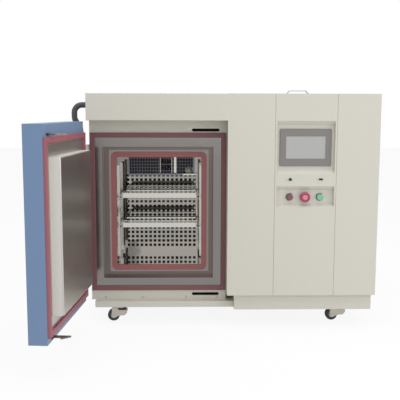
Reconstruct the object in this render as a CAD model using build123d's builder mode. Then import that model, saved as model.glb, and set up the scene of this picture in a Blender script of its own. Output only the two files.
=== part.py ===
"""Bench-height environmental test chamber: a heated and cooled steel cavity behind a
plug door on the left, a machine and control cabinet on the right, on four castors.

Millimetres, +Z up, +Y from the front to the back. The origin is on the floor under
the middle of the whole outline with the door open, as it stands at rest.
"""

from build123d import *
from math import cos, radians, sin
import os

os.makedirs("parts", exist_ok=True)

# Case
CASE_WIDTH = 1160.0
CASE_DEPTH = 820.0
CASE_HEIGHT = 950.0
CHAMBER_WIDTH = 557.0  # left part of the case, up to the control cabinet
HEADER_HEIGHT = 106.0  # housing that juts out above the door
FRONT_RECESS = 91.0  # door frame behind the front of the header
SKIN = 1.5  # painted steel sheet
PANEL_JOINT = 1.0  # seam between two front panels

# Base
FLOOR_CLEARANCE = 76.0  # castor height
TRAY_HEIGHT = 25.0
TRAY_INSET_FRONT = 60.0
TRAY_INSET_SIDE = 17.0
CONTROL_BOTTOM = 140.0
CONTROL_PLINTH_LEFT = 31.0  # from the chamber side of the control cabinet
CONTROL_PLINTH_RIGHT = 11.0
CONTROL_PLINTH_FRONT = 20.0

# Cavity
CAVITY_WIDTH = 350.0
CAVITY_HEIGHT = 450.0
CAVITY_DEPTH = 320.0
CAVITY_LEFT = 105.0  # from the left side of the case
CAVITY_FLOOR = 243.0
LINER = 2.0
AIR_DUCT_DEPTH = 48.0  # behind the baffle, for the fan and the coils
INSULATION_REACH = 540.0  # back of the insulation behind the front of the header

# Door frame: painted plate, steel step and its two seals
FRAME_SIDE = 22.0  # painted border outside the steel door frame
FRAME_TOP = 70.0
FRAME_BOTTOM = 60.0
FRAME_SHEET = 2.0
STEP_OPENING_LEFT = 51.0
STEP_OPENING_RIGHT = 54.0
STEP_OPENING_TOP = 107.0
STEP_OPENING_BOTTOM = 92.0
STEP_DEPTH = 32.0
OUTER_SEAL_WIDTH = 20.0
OUTER_SEAL_THICKNESS = 7.6
INNER_SEAL_WIDTH = 22.0
INNER_SEAL_RADIUS = 22.0
SEAL_GAP = 0.4  # left between a seal and what closes on it

# Door
DOOR_THICKNESS = 65.0
DOOR_GAP = 3.0
DOOR_TOP_GAP = 4.0
DOOR_BOTTOM = 115.0
DOOR_SKIN_DEPTH = 7.0  # outer skin behind the front of the header
DOOR_SHEET = 2.0
DOOR_OPEN_ANGLE = 95.0
DOOR_SEAL_WIDTH = 17.0
INNER_PANEL_SHEET = 3.0
PLUG_DEPTH = 42.0
PLUG_CLEARANCE = 7.0
PLUG_RADIUS = 6.0

# Hinges
HINGE_OUT = 28.0  # pin axis outside the left side
HINGE_BACK = 56.0  # pin axis behind the front of the header
HINGE_HEIGHT = 90.0
HINGE_CENTRES = (292.0, 701.0)
HINGE_ARM = 22.0  # height of each arm on the case
KNUCKLE_RADIUS = 10.0
PIN_RADIUS = 5.0
RUNNING_CLEARANCE = 0.05
BODY_CLEARANCE = 0.3
LEAF_THICKNESS = 4.0

# Latch
LATCH_FROM_EDGE = 69.0  # rod axis to the free edge of the door
ROD_RADIUS = 6.0
ROD_FROM_INNER_FACE = 26.0
HOOK_REACH = 86.0
HOOK_WIDTH = 16.0
HOOK_THICKNESS = 5.0
HOOK_BARB = 14.0
TOP_HOOK_BELOW_HEADER = 39.0
BOTTOM_HOOK_ABOVE_DOOR = 9.0
SLOT_HEIGHT = 12.0
SLOT_END_GAP = 29.0  # from the slot's end to the control cabinet
SLOT_LENGTH = 112.0
SLOT_POCKET = 57.0  # space for a hook behind the fascia
LATCH_TURN = 28.0  # from open to locked
PADDLE_REACH = 85.0  # from the rod towards the hinge, locked
PADDLE_ROOT = 22.0
PADDLE_THICKNESS = 8.0
PADDLE_HEIGHT = 120.0
CUP_PAST_PADDLE = 28.0  # finger room
CUP_PAST_ROD = 16.0
CUP_DEPTH = 55.0
CUP_CLEARANCE = 12.0
HANDLE_CENTRE = 470.0

# Conduit between the header and the door
CONDUIT_RADIUS = 11.0
CONDUIT_EXIT_BELOW_TOP = 45.5
CONDUIT_OUT = 52.0
CONDUIT_BEND = 30.0
ELBOW_CENTRE = 764.0
ELBOW_SOCKET = 26.0
ELBOW_WALL = 3.0

# Control column
COLUMN_FROM_SPLIT = 187.0
COLUMN_WIDTH = 245.0
RECESS_DEPTH = 17.0
RECESS_CHEEK = 7.0
SCREEN_RECESS = (634.0, 650.0, 827.0, 844.0)
BUTTON_RECESS = (501.0, 513.0, 569.0, 585.0)
SCREEN_WIDTH = 206.0
SCREEN_HEIGHT = 148.0
SCREEN_CENTRE = 738.5
SCREEN_THICKNESS = 6.0
DISPLAY_WIDTH = 156.0
DISPLAY_HEIGHT = 88.0
BUTTON_PITCH = 60.5
BUTTON_CENTRE = 541.0
BUTTON_BEZEL_RADIUS = 15.5
BUTTON_CAP_RADIUS = 12.0
MUSHROOM_RADIUS = 21.0
PORT_PITCH = 122.0
PORT_CENTRE = 613.0

# Cable port
PORT_BACK = 165.0  # behind the front of the header
PORT_HEIGHT = 460.0
PORT_BORE_RADIUS = 22.0
PORT_WALL = 2.0
PORT_FLANGE_RADIUS = 32.0
PORT_PLUG_HEAD = 12.0

# Shelves
RAIL_DEPTH = 6.0
RAIL_WIDTH = 16.0
SHELF_LEVELS = (398.0, 522.0)
SHELF_BAR_HEIGHT = 20.0
SHELF_DEPTH = 245.0
SHELF_SIDE_GAP = 3.0
SHELF_WIRE = 3.0
SHELF_WIRES = 13
RUNNER_WIDTH = 12.0
RUNNER_SHEET = 2.0

# Baffle
BAFFLE_SHEET = 1.5
PERFORATION = 12.0
PERFORATION_PITCH = 20.0
PERFORATION_COLUMNS = 16
PERFORATION_ROWS = 17
GRILLE_HEIGHT = 86.0
GRILLE_WIDTH = 290.0

# Castors
CASTOR_INSET_SIDE = 118.0
CASTOR_INSET_FRONT = 130.0
CASTOR_INSET_REAR = 130.0
WHEEL_RADIUS = 25.0
WHEEL_WIDTH = 22.0
CASTOR_TRAIL = 32.0
CASTOR_PLATE = 4.0
CASTOR_PLATE_SIZE = 60.0
FORK_SHEET = 3.0
KINGPIN_RADIUS = 5.0
AXLE_RADIUS = 4.0

# Roof handle
ROOF_HANDLE_FROM_SPLIT = 283.0
ROOF_HANDLE_WIDTH = 88.0
ROOF_HANDLE_RISE = 16.0
ROOF_HANDLE_ROD = 2.5
ROOF_HANDLE_BACK = 80.0

# Outlets at the back
SPIGOT_RADIUS = 8.0
SPIGOT_LENGTH = 28.0

# Reach of the open door, which places the origin
DOOR_WIDTH = CHAMBER_WIDTH - 2 * DOOR_GAP
HINGE_TO_EDGE = HINGE_OUT + DOOR_GAP  # pin axis to the hinge edge of the door
HINGE_TO_SKIN = HINGE_BACK - DOOR_SKIN_DEPTH  # pin axis to the outer skin
FREE_EDGE = HINGE_TO_EDGE + DOOR_WIDTH
OPEN = radians(DOOR_OPEN_ANGLE)
LATCH_ALONG = FREE_EDGE - LATCH_FROM_EDGE


def open_x(along, inward):
    """How far a point of the open door lies to the left of the case."""
    return HINGE_OUT - along * cos(OPEN) - inward * sin(OPEN)


def open_y(along, inward):
    """How far a point of the open door lies in front of the header."""
    return along * sin(OPEN) - inward * cos(OPEN) - HINGE_BACK


# Outer corner of the paddle, swung out by the latch's turn
LATCH_INWARD = DOOR_THICKNESS - HINGE_TO_SKIN - ROD_FROM_INNER_FACE
SKIN_FROM_ROD = LATCH_INWARD + HINGE_TO_SKIN
TURN = radians(LATCH_TURN)
PADDLE_OUT = SKIN_FROM_ROD + PADDLE_THICKNESS / 2
PADDLE_ALONG = LATCH_ALONG - PADDLE_REACH * cos(TURN) + PADDLE_OUT * sin(TURN)
PADDLE_INWARD = LATCH_INWARD - PADDLE_REACH * sin(TURN) - PADDLE_OUT * cos(TURN)

REACH_LEFT = max(open_x(FREE_EDGE, -HINGE_TO_SKIN), open_x(PADDLE_ALONG, PADDLE_INWARD))
REACH_FRONT = max(
    open_y(FREE_EDGE, -HINGE_TO_SKIN),
    open_y(FREE_EDGE, DOOR_THICKNESS - HINGE_TO_SKIN),
)

LEFT = (REACH_LEFT - CASE_WIDTH) / 2
RIGHT = LEFT + CASE_WIDTH
SPLIT = LEFT + CHAMBER_WIDTH
FRONT = (REACH_FRONT - CASE_DEPTH - SPIGOT_LENGTH) / 2
BACK = FRONT + CASE_DEPTH
FASCIA = FRONT + FRONT_RECESS
HEADER_BOTTOM = CASE_HEIGHT - HEADER_HEIGHT
TRAY_BOTTOM = FLOOR_CLEARANCE
TRAY_TOP = TRAY_BOTTOM + TRAY_HEIGHT
TRAY_FRONT = FRONT + TRAY_INSET_FRONT
TRAY_LEFT = LEFT + TRAY_INSET_SIDE
TRAY_RIGHT = RIGHT - CONTROL_PLINTH_RIGHT - SKIN
PLINTH_LEFT = SPLIT + CONTROL_PLINTH_LEFT

CHAMBER_BOTTOM = TRAY_TOP
CAVITY_X = LEFT + CAVITY_LEFT
CAVITY_RIGHT = CAVITY_X + CAVITY_WIDTH
CAVITY_TOP = CAVITY_FLOOR + CAVITY_HEIGHT
CAVITY_FRONT = FASCIA + STEP_DEPTH
BAFFLE_FRONT = CAVITY_FRONT + CAVITY_DEPTH - AIR_DUCT_DEPTH
LINER_BACK = CAVITY_FRONT + CAVITY_DEPTH
CAVITY_MID_X = (CAVITY_X + CAVITY_RIGHT) / 2
INSULATION_BACK = FRONT + INSULATION_REACH
PORT_Y = FRONT + PORT_BACK
PORT_Z = PORT_HEIGHT
SLOT_RIGHT = SPLIT - SLOT_END_GAP
SLOT_LEFT = SLOT_RIGHT - SLOT_LENGTH

WINDOW = (
    LEFT + FRAME_SIDE,
    SPLIT - FRAME_SIDE,
    CHAMBER_BOTTOM + FRAME_BOTTOM,
    HEADER_BOTTOM - FRAME_TOP,
)
STEP = (
    LEFT + STEP_OPENING_LEFT,
    SPLIT - STEP_OPENING_RIGHT,
    CHAMBER_BOTTOM + STEP_OPENING_BOTTOM,
    HEADER_BOTTOM - STEP_OPENING_TOP,
)
HINGE_X = LEFT - HINGE_OUT
HINGE_Y = FRONT + HINGE_BACK
DOOR_TOP = HEADER_BOTTOM - DOOR_TOP_GAP
DOOR_INNER = DOOR_THICKNESS - HINGE_TO_SKIN  # inner face, measured from the pin axis
TOP_HOOK = HEADER_BOTTOM - TOP_HOOK_BELOW_HEADER
BOTTOM_HOOK = DOOR_BOTTOM + BOTTOM_HOOK_ABOVE_DOOR

# The door is drawn about its pin: x along its width, y inwards, z up
DOOR_PLANE = Plane(
    origin=(HINGE_X, HINGE_Y, 0),
    x_dir=(cos(OPEN), -sin(OPEN), 0),
    z_dir=(0, 0, 1),
)
LATCH_PLANE = Plane(
    origin=DOOR_PLANE.from_local_coords((LATCH_ALONG, LATCH_INWARD, 0)),
    x_dir=DOOR_PLANE.x_dir,
    z_dir=(0, 0, 1),
)


def block(x, y, z, mode=Mode.ADD):
    """A box between pairs of limits along each axis."""
    with Locations((sum(x) / 2, sum(y) / 2, sum(z) / 2)):
        Box(abs(x[1] - x[0]), abs(y[1] - y[0]), abs(z[1] - z[0]), mode=mode)


def rod(x, y, z, radius, direction="Z", mode=Mode.ADD):
    """A cylinder: two coordinates are numbers, the one along it is a pair of limits."""
    spans = {"X": x, "Y": y, "Z": z}
    low, high = spans[direction]
    mid = [(low + high) / 2 if name == direction else value for name, value in spans.items()]
    turn = {"X": (0, 90, 0), "Y": (90, 0, 0), "Z": (0, 0, 0)}[direction]
    with Locations(Location(tuple(mid), turn)):
        Cylinder(radius, high - low, mode=mode)


def frame_sketch(x, z, width, radius=0.0):
    """A rectangular ring, drawn in the plane of the sketch round it."""
    with Locations(((x[0] + x[1]) / 2, (z[0] + z[1]) / 2)):
        if radius:
            RectangleRounded(x[1] - x[0], z[1] - z[0], radius)
            RectangleRounded(
                x[1] - x[0] - 2 * width,
                z[1] - z[0] - 2 * width,
                max(radius - width, 2.0),
                mode=Mode.SUBTRACT,
            )
        else:
            Rectangle(x[1] - x[0], z[1] - z[0])
            Rectangle(x[1] - x[0] - 2 * width, z[1] - z[0] - 2 * width, mode=Mode.SUBTRACT)


def facing_front(y):
    """A drawing plane at depth y, with x to the right, z up and its normal to the front."""
    return Plane(origin=(0, y, 0), x_dir=(1, 0, 0), z_dir=(0, -1, 0))


def save(shape, label):
    """Names a finished piece and writes its file."""
    shape.label = label
    export_step(shape, f"parts/{label}.step")


# Base: tray, control cabinet's floor and castors

CASTORS = {
    "front_left": (LEFT + CASTOR_INSET_SIDE, FRONT + CASTOR_INSET_FRONT),
    "front_right": (RIGHT - CASTOR_INSET_SIDE, FRONT + CASTOR_INSET_FRONT),
    "rear_left": (LEFT + CASTOR_INSET_SIDE, BACK - CASTOR_INSET_REAR),
    "rear_right": (RIGHT - CASTOR_INSET_SIDE, BACK - CASTOR_INSET_REAR),
}

with BuildPart() as base_tray:
    block((TRAY_LEFT, TRAY_RIGHT), (TRAY_FRONT, BACK - SKIN), (TRAY_BOTTOM, TRAY_TOP))
    offset(amount=-2.5, openings=base_tray.faces().sort_by(Axis.Z)[0])
    for x, y in CASTORS.values():
        pad = CASTOR_PLATE_SIZE / 2 + 4
        block((x - pad, x + pad), (y - pad, y + pad), (TRAY_BOTTOM, TRAY_TOP - 1))
save(base_tray.part, "base_tray")

PLINTH_RIGHT = RIGHT - CONTROL_PLINTH_RIGHT
PLINTH_FRONT = FRONT + CONTROL_PLINTH_FRONT
BEAM = 40.0
with BuildPart() as control_base:
    floor = (CONTROL_BOTTOM, CONTROL_BOTTOM + 2)
    block((SPLIT + SKIN, RIGHT - SKIN), (FRONT + SKIN, BACK - SKIN), floor)
    block((PLINTH_LEFT, PLINTH_RIGHT), (PLINTH_FRONT, PLINTH_FRONT + SKIN), (TRAY_BOTTOM, CONTROL_BOTTOM))
    block((PLINTH_RIGHT - SKIN, PLINTH_RIGHT), (PLINTH_FRONT, BACK - SKIN), (TRAY_BOTTOM, CONTROL_BOTTOM))
    block((PLINTH_LEFT, PLINTH_LEFT + SKIN), (PLINTH_FRONT, TRAY_FRONT), (TRAY_BOTTOM, CONTROL_BOTTOM))
    for x in (PLINTH_LEFT, PLINTH_RIGHT - SKIN - BEAM):
        block((x, x + BEAM), (TRAY_FRONT, BACK - SKIN), (TRAY_TOP, CONTROL_BOTTOM))
save(control_base.part, "control_base")

PLATE_BOTTOM = TRAY_BOTTOM - CASTOR_PLATE
FORK_TOP = PLATE_BOTTOM - BODY_CLEARANCE
FORK_CROWN = FORK_TOP - 8.0
RACE_RADIUS = 22.0
KINGPIN_HEAD = 3.0
with BuildPart() as castor_plates:
    half = CASTOR_PLATE_SIZE / 2
    for x, y in CASTORS.values():
        block((x - half, x + half), (y - half, y + half), (PLATE_BOTTOM, TRAY_BOTTOM))
        head = FORK_CROWN - BODY_CLEARANCE
        rod(x, y, (head - KINGPIN_HEAD, PLATE_BOTTOM), KINGPIN_RADIUS)
        rod(x, y, (head - KINGPIN_HEAD, head), KINGPIN_RADIUS + 3)
save(castor_plates.part, "castor_plates")

for name, (x, y) in CASTORS.items():
    wheel_x = x - CASTOR_TRAIL
    leg = WHEEL_WIDTH / 2 + 1.5
    outside = leg + FORK_SHEET
    leg_foot = WHEEL_RADIUS - 7
    leg_top = FORK_CROWN + 3
    with BuildPart() as fork:
        rod(x, y, (FORK_CROWN, FORK_TOP), RACE_RADIUS)
        block((wheel_x - 6, x + 16), (y - outside, y + outside), (FORK_CROWN, leg_top))
        for leg_back in (y + outside, y - leg):
            with BuildSketch(facing_front(leg_back)):
                with BuildLine():
                    Polyline(
                        (wheel_x - 9, leg_foot),
                        (wheel_x + 9, leg_foot),
                        (x + 16, leg_top),
                        (wheel_x - 6, leg_top),
                        close=True,
                    )
                make_face()
            extrude(amount=FORK_SHEET)
        rod(wheel_x, (y - outside - 2, y + outside + 2), WHEEL_RADIUS, AXLE_RADIUS, "Y")
        block((x + 12, x + 38), (y - 9, y + 9), (FORK_CROWN, leg_top))
        bore = KINGPIN_RADIUS + RUNNING_CLEARANCE
        rod(x, y, (FORK_CROWN - 1, FORK_TOP + 1), bore, mode=Mode.SUBTRACT)
    save(fork.part, f"castor_fork_{name}")
    with BuildPart() as wheel:
        half = WHEEL_WIDTH / 2
        rod(wheel_x, (y - half, y + half), WHEEL_RADIUS, WHEEL_RADIUS, "Y")
        fillet(wheel.edges().filter_by(GeomType.CIRCLE), 3)
        bore = AXLE_RADIUS + RUNNING_CLEARANCE
        rod(wheel_x, (y - half - 1, y + half + 1), WHEEL_RADIUS, bore, "Y", mode=Mode.SUBTRACT)
    save(wheel.part, f"castor_wheel_{name}")

# Chamber case

with BuildPart() as header_cover:
    block((LEFT, SPLIT), (FRONT, BACK - SKIN), (HEADER_BOTTOM, CASE_HEIGHT))
    fillet(header_cover.edges().filter_by(Axis.X).sort_by(Axis.Y)[:2], 2.5)
    offset(amount=-SKIN, openings=header_cover.faces().sort_by(Axis.Y)[-1])
save(header_cover.part, "header_cover")

with BuildPart() as chamber_fascia:
    block((LEFT, SPLIT), (FASCIA, FASCIA + 2), (CHAMBER_BOTTOM, HEADER_BOTTOM))
    block(
        (STEP[0] - FRAME_SHEET, STEP[1] + FRAME_SHEET),
        (FASCIA - 1, FASCIA + 3),
        (STEP[2] - FRAME_SHEET, STEP[3] + FRAME_SHEET),
        mode=Mode.SUBTRACT,
    )
    with BuildSketch(facing_front(FASCIA - 1)):
        with Locations(*[((SLOT_LEFT + SLOT_RIGHT) / 2, z) for z in (TOP_HOOK, BOTTOM_HOOK)]):
            SlotOverall(SLOT_LENGTH, SLOT_HEIGHT)
    extrude(amount=-5, mode=Mode.SUBTRACT)
save(chamber_fascia.part, "chamber_fascia")

with BuildPart() as chamber_sides:
    for x in (LEFT, SPLIT - SKIN):
        block((x, x + SKIN), (FASCIA + 2, BACK - SKIN), (CHAMBER_BOTTOM, HEADER_BOTTOM))
    sleeve = PORT_BORE_RADIUS + PORT_WALL
    rod((LEFT - 1, LEFT + SKIN + 1), PORT_Y, PORT_Z, sleeve, "X", mode=Mode.SUBTRACT)
save(chamber_sides.part, "chamber_sides")

LOUVRE_PITCH = 22.0
LOUVRE_HEIGHT = 8.0
LOUVRE_WIDTH = 360.0
LOW_LOUVRES = 330.0  # middle height of each group
HIGH_LOUVRES = 800.0
LOW_LOUVRE_ROWS = 11
HIGH_LOUVRE_ROWS = 5
with BuildPart() as rear_panel:
    block((LEFT, RIGHT), (BACK - SKIN, BACK), (TRAY_TOP, CASE_HEIGHT))
    with BuildSketch(facing_front(BACK - 5)):
        with Locations(((SPLIT + RIGHT) / 2, LOW_LOUVRES)):
            with GridLocations(0, LOUVRE_PITCH, 1, LOW_LOUVRE_ROWS):
                SlotOverall(LOUVRE_WIDTH, LOUVRE_HEIGHT)
        with Locations(((SPLIT + RIGHT) / 2, HIGH_LOUVRES)):
            with GridLocations(0, LOUVRE_PITCH, 1, HIGH_LOUVRE_ROWS):
                SlotOverall(LOUVRE_WIDTH, LOUVRE_HEIGHT)
    extrude(amount=-10, mode=Mode.SUBTRACT)
save(rear_panel.part, "rear_panel")

FRAME_FRONT = FASCIA - FRAME_SHEET
with BuildPart() as step_frame:
    block(WINDOW[:2], (FRAME_FRONT, FASCIA), WINDOW[2:])
    block(
        (STEP[0] - FRAME_SHEET, STEP[1] + FRAME_SHEET),
        (FRAME_FRONT, CAVITY_FRONT + LINER),
        (STEP[2] - FRAME_SHEET, STEP[3] + FRAME_SHEET),
    )
    block(STEP[:2], (FRAME_FRONT - 1, CAVITY_FRONT), STEP[2:], mode=Mode.SUBTRACT)
    block(
        (CAVITY_X, CAVITY_RIGHT),
        (CAVITY_FRONT - 1, CAVITY_FRONT + LINER + 1),
        (CAVITY_FLOOR, CAVITY_TOP),
        mode=Mode.SUBTRACT,
    )
save(step_frame.part, "step_frame")

with BuildPart() as outer_gasket:
    with BuildSketch(facing_front(FASCIA)):
        frame_sketch(
            (WINDOW[0] - OUTER_SEAL_WIDTH, WINDOW[1] + OUTER_SEAL_WIDTH),
            (WINDOW[2] - OUTER_SEAL_WIDTH, WINDOW[3] + OUTER_SEAL_WIDTH),
            OUTER_SEAL_WIDTH,
        )
    extrude(amount=OUTER_SEAL_THICKNESS)
    chamfer(outer_gasket.faces().sort_by(Axis.Y)[0].edges(), 1.5)
save(outer_gasket.part, "outer_gasket")

PLUG_FACE = FASCIA - (FRONT_RECESS - DOOR_SKIN_DEPTH - DOOR_THICKNESS) + PLUG_DEPTH
INNER_SEAL_THICKNESS = CAVITY_FRONT - PLUG_FACE - SEAL_GAP
with BuildPart() as inner_gasket:
    with BuildSketch(facing_front(CAVITY_FRONT)):
        frame_sketch(
            (CAVITY_X - INNER_SEAL_WIDTH, CAVITY_RIGHT + INNER_SEAL_WIDTH),
            (CAVITY_FLOOR - INNER_SEAL_WIDTH, CAVITY_TOP + INNER_SEAL_WIDTH),
            INNER_SEAL_WIDTH,
            INNER_SEAL_RADIUS,
        )
    extrude(amount=INNER_SEAL_THICKNESS)
save(inner_gasket.part, "inner_gasket")

LINER_FRONT = CAVITY_FRONT + LINER
FAN_RADIUS = 58.0
SHAFT_RADIUS = 6.0
SHAFT_HOLE = 12.0
FAN_X = (CAVITY_X + CAVITY_RIGHT) / 2
FAN_Z = CAVITY_TOP - FAN_RADIUS - 8
with BuildPart() as inner_liner:
    block(
        (CAVITY_X - LINER, CAVITY_RIGHT + LINER),
        (LINER_FRONT, LINER_BACK + LINER),
        (CAVITY_FLOOR - LINER, CAVITY_TOP + LINER),
    )
    block(
        (CAVITY_X, CAVITY_RIGHT),
        (LINER_FRONT - 1, LINER_BACK),
        (CAVITY_FLOOR, CAVITY_TOP),
        mode=Mode.SUBTRACT,
    )
    sleeve = PORT_BORE_RADIUS + PORT_WALL
    rod((CAVITY_X - LINER - 1, CAVITY_X + 1), PORT_Y, PORT_Z, sleeve, "X", mode=Mode.SUBTRACT)
    rod(FAN_X, (LINER_BACK - 1, LINER_BACK + LINER + 1), FAN_Z, SHAFT_HOLE, "Y", mode=Mode.SUBTRACT)
save(inner_liner.part, "inner_liner")

with BuildPart() as insulation:
    block((LEFT + SKIN, SPLIT - SKIN), (FASCIA + 2, INSULATION_BACK), (CHAMBER_BOTTOM, HEADER_BOTTOM))
    block(
        (STEP[0] - FRAME_SHEET, STEP[1] + FRAME_SHEET),
        (FASCIA, LINER_FRONT),
        (STEP[2] - FRAME_SHEET, STEP[3] + FRAME_SHEET),
        mode=Mode.SUBTRACT,
    )
    block(
        (CAVITY_X - LINER, CAVITY_RIGHT + LINER),
        (LINER_FRONT, LINER_BACK + LINER),
        (CAVITY_FLOOR - LINER, CAVITY_TOP + LINER),
        mode=Mode.SUBTRACT,
    )
    for level in (TOP_HOOK, BOTTOM_HOOK):
        block(
            (SLOT_LEFT - 6, SPLIT - 6),
            (FASCIA, FASCIA + SLOT_POCKET),
            (level - 14, level + 14),
            mode=Mode.SUBTRACT,
        )
    rod((LEFT, CAVITY_X), PORT_Y, PORT_Z, PORT_BORE_RADIUS + PORT_WALL, "X", mode=Mode.SUBTRACT)
    rod(FAN_X, (LINER_BACK, INSULATION_BACK + 1), FAN_Z, SHAFT_HOLE, "Y", mode=Mode.SUBTRACT)
save(insulation.part, "insulation")

# Control cabinet

RETURN_DEPTH = FRONT_RECESS + 30.0  # how far the panel's edge wraps back
with BuildPart() as control_panel_left:
    edge = SPLIT + COLUMN_FROM_SPLIT - PANEL_JOINT / 2
    panel_top = CASE_HEIGHT - SKIN
    block((SPLIT, edge), (FRONT, FRONT + SKIN), (CONTROL_BOTTOM, panel_top))
    block((SPLIT, SPLIT + SKIN), (FRONT, FRONT + RETURN_DEPTH), (CONTROL_BOTTOM, panel_top))
    block((edge - SKIN, edge), (FRONT, FRONT + 14), (CONTROL_BOTTOM + 2, panel_top))
save(control_panel_left.part, "control_panel_left")

COLUMN_LEFT = SPLIT + COLUMN_FROM_SPLIT + PANEL_JOINT / 2
COLUMN_RIGHT = COLUMN_LEFT + COLUMN_WIDTH - PANEL_JOINT
COLUMN_MID = (COLUMN_LEFT + COLUMN_RIGHT) / 2
face_line = [(FRONT, CONTROL_BOTTOM)]
for low, inner_low, inner_high, high in (BUTTON_RECESS, SCREEN_RECESS):
    face_line += [
        (FRONT, low),
        (FRONT + RECESS_DEPTH, inner_low),
        (FRONT + RECESS_DEPTH, inner_high),
        (FRONT, high),
    ]
face_line.append((FRONT, CASE_HEIGHT - SKIN))
back_line = [(y + SKIN, z) for y, z in reversed(face_line)]
with BuildPart() as control_column:
    with BuildSketch(Plane.YZ.offset(COLUMN_LEFT)):
        with BuildLine():
            Polyline(*face_line, *back_line, close=True)
        make_face()
    extrude(amount=COLUMN_RIGHT - COLUMN_LEFT)
    for x in (COLUMN_LEFT, COLUMN_RIGHT - RECESS_CHEEK):
        block(
            (x, x + RECESS_CHEEK),
            (FRONT, FRONT + RECESS_DEPTH + SKIN),
            (CONTROL_BOTTOM + 2, CASE_HEIGHT - SKIN),
        )
    rod_y = (FRONT + RECESS_DEPTH - 1, FRONT + RECESS_DEPTH + SKIN + 1)
    for n in (-1, 0, 1):
        rod(COLUMN_MID + n * BUTTON_PITCH, rod_y, BUTTON_CENTRE, 8, "Y", mode=Mode.SUBTRACT)
    block(
        (COLUMN_MID - SCREEN_WIDTH / 2 + 8, COLUMN_MID + SCREEN_WIDTH / 2 - 8),
        rod_y,
        (SCREEN_CENTRE - SCREEN_HEIGHT / 2 + 8, SCREEN_CENTRE + SCREEN_HEIGHT / 2 - 8),
        mode=Mode.SUBTRACT,
    )
    for side in (-1, 1):
        x = COLUMN_MID + side * PORT_PITCH / 2
        rise = (PORT_CENTRE - 7, PORT_CENTRE + 7)
        block((x - 8, x + 8), (FRONT - 1, FRONT + 3), rise, mode=Mode.SUBTRACT)
save(control_column.part, "control_column")

with BuildPart() as control_panel_right:
    edge = COLUMN_RIGHT + PANEL_JOINT
    block((edge, RIGHT), (FRONT, FRONT + SKIN), (CONTROL_BOTTOM, CASE_HEIGHT - SKIN))
    block((edge, edge + SKIN), (FRONT, FRONT + 14), (CONTROL_BOTTOM + 2, CASE_HEIGHT - SKIN))
save(control_panel_right.part, "control_panel_right")

with BuildPart() as machine_cover:
    block((RIGHT - SKIN, RIGHT), (FRONT + SKIN, BACK - SKIN), (CONTROL_BOTTOM, CASE_HEIGHT - SKIN))
    block((SPLIT, RIGHT), (FRONT, BACK - SKIN), (CASE_HEIGHT - SKIN, CASE_HEIGHT))
    with BuildSketch(Plane.YZ.offset(RIGHT - 5)):
        with Locations(((FRONT + BACK) / 2 + CASE_DEPTH / 5, 300)):
            with GridLocations(0, LOUVRE_PITCH, 1, 12):
                SlotOverall(240, LOUVRE_HEIGHT)
    extrude(amount=10, mode=Mode.SUBTRACT)
save(machine_cover.part, "machine_cover")

with BuildPart() as roof_handle:
    x = SPLIT + ROOF_HANDLE_FROM_SPLIT
    y = FRONT + ROOF_HANDLE_BACK
    half = ROOF_HANDLE_WIDTH / 2
    top = CASE_HEIGHT + ROOF_HANDLE_RISE - ROOF_HANDLE_ROD
    with BuildLine() as loop:
        FilletPolyline(
            (x - half - 2, y, CASE_HEIGHT - 2),
            (x - half + 12, y, top),
            (x + half - 12, y, top),
            (x + half + 2, y, CASE_HEIGHT - 2),
            radius=6,
        )
    with BuildSketch(Plane(origin=loop.line @ 0, z_dir=loop.line % 0)):
        Circle(ROOF_HANDLE_ROD)
    sweep(path=loop.line)
    block(
        (x - ROOF_HANDLE_WIDTH, x + ROOF_HANDLE_WIDTH),
        (y - 20, y + 20),
        (CASE_HEIGHT - 20, CASE_HEIGHT),
        mode=Mode.SUBTRACT,
    )
save(roof_handle.part, "roof_handle")

RECESS_FACE = FRONT + RECESS_DEPTH
with BuildPart() as screen_bezel:
    with BuildSketch(facing_front(RECESS_FACE)):
        with Locations((COLUMN_MID, SCREEN_CENTRE)):
            RectangleRounded(SCREEN_WIDTH, SCREEN_HEIGHT, 6)
    extrude(amount=SCREEN_THICKNESS)
    chamfer(screen_bezel.faces().sort_by(Axis.Y)[0].edges(), 2)
    block(
        (COLUMN_MID - DISPLAY_WIDTH / 2, COLUMN_MID + DISPLAY_WIDTH / 2),
        (RECESS_FACE - SCREEN_THICKNESS - 1, RECESS_FACE - SCREEN_THICKNESS + 2),
        (SCREEN_CENTRE - DISPLAY_HEIGHT / 2, SCREEN_CENTRE + DISPLAY_HEIGHT / 2),
        mode=Mode.SUBTRACT,
    )
    block(
        (COLUMN_MID - SCREEN_WIDTH / 2 + 10, COLUMN_MID + SCREEN_WIDTH / 2 - 10),
        (RECESS_FACE, RECESS_FACE + 34),
        (SCREEN_CENTRE - SCREEN_HEIGHT / 2 + 10, SCREEN_CENTRE + SCREEN_HEIGHT / 2 - 10),
    )
save(screen_bezel.part, "screen_bezel")

with BuildPart() as touch_screen:
    block(
        (COLUMN_MID - DISPLAY_WIDTH / 2, COLUMN_MID + DISPLAY_WIDTH / 2),
        (RECESS_FACE - SCREEN_THICKNESS + 0.5, RECESS_FACE - SCREEN_THICKNESS + 2),
        (SCREEN_CENTRE - DISPLAY_HEIGHT / 2, SCREEN_CENTRE + DISPLAY_HEIGHT / 2),
    )
save(touch_screen.part, "touch_screen")

with BuildPart() as data_ports:
    for side in (-1, 1):
        x = COLUMN_MID + side * PORT_PITCH / 2
        block((x - 8, x + 8), (FRONT - 1.2, FRONT + 22), (PORT_CENTRE - 7, PORT_CENTRE + 7))
        block((x - 15, x + 15), (FRONT - 1.2, FRONT), (PORT_CENTRE - 8.5, PORT_CENTRE + 8.5))
        socket = (PORT_CENTRE - 4, PORT_CENTRE + 4)
        block((x - 6, x + 6), (FRONT - 2, FRONT + 10), socket, mode=Mode.SUBTRACT)
save(data_ports.part, "data_ports")

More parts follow.
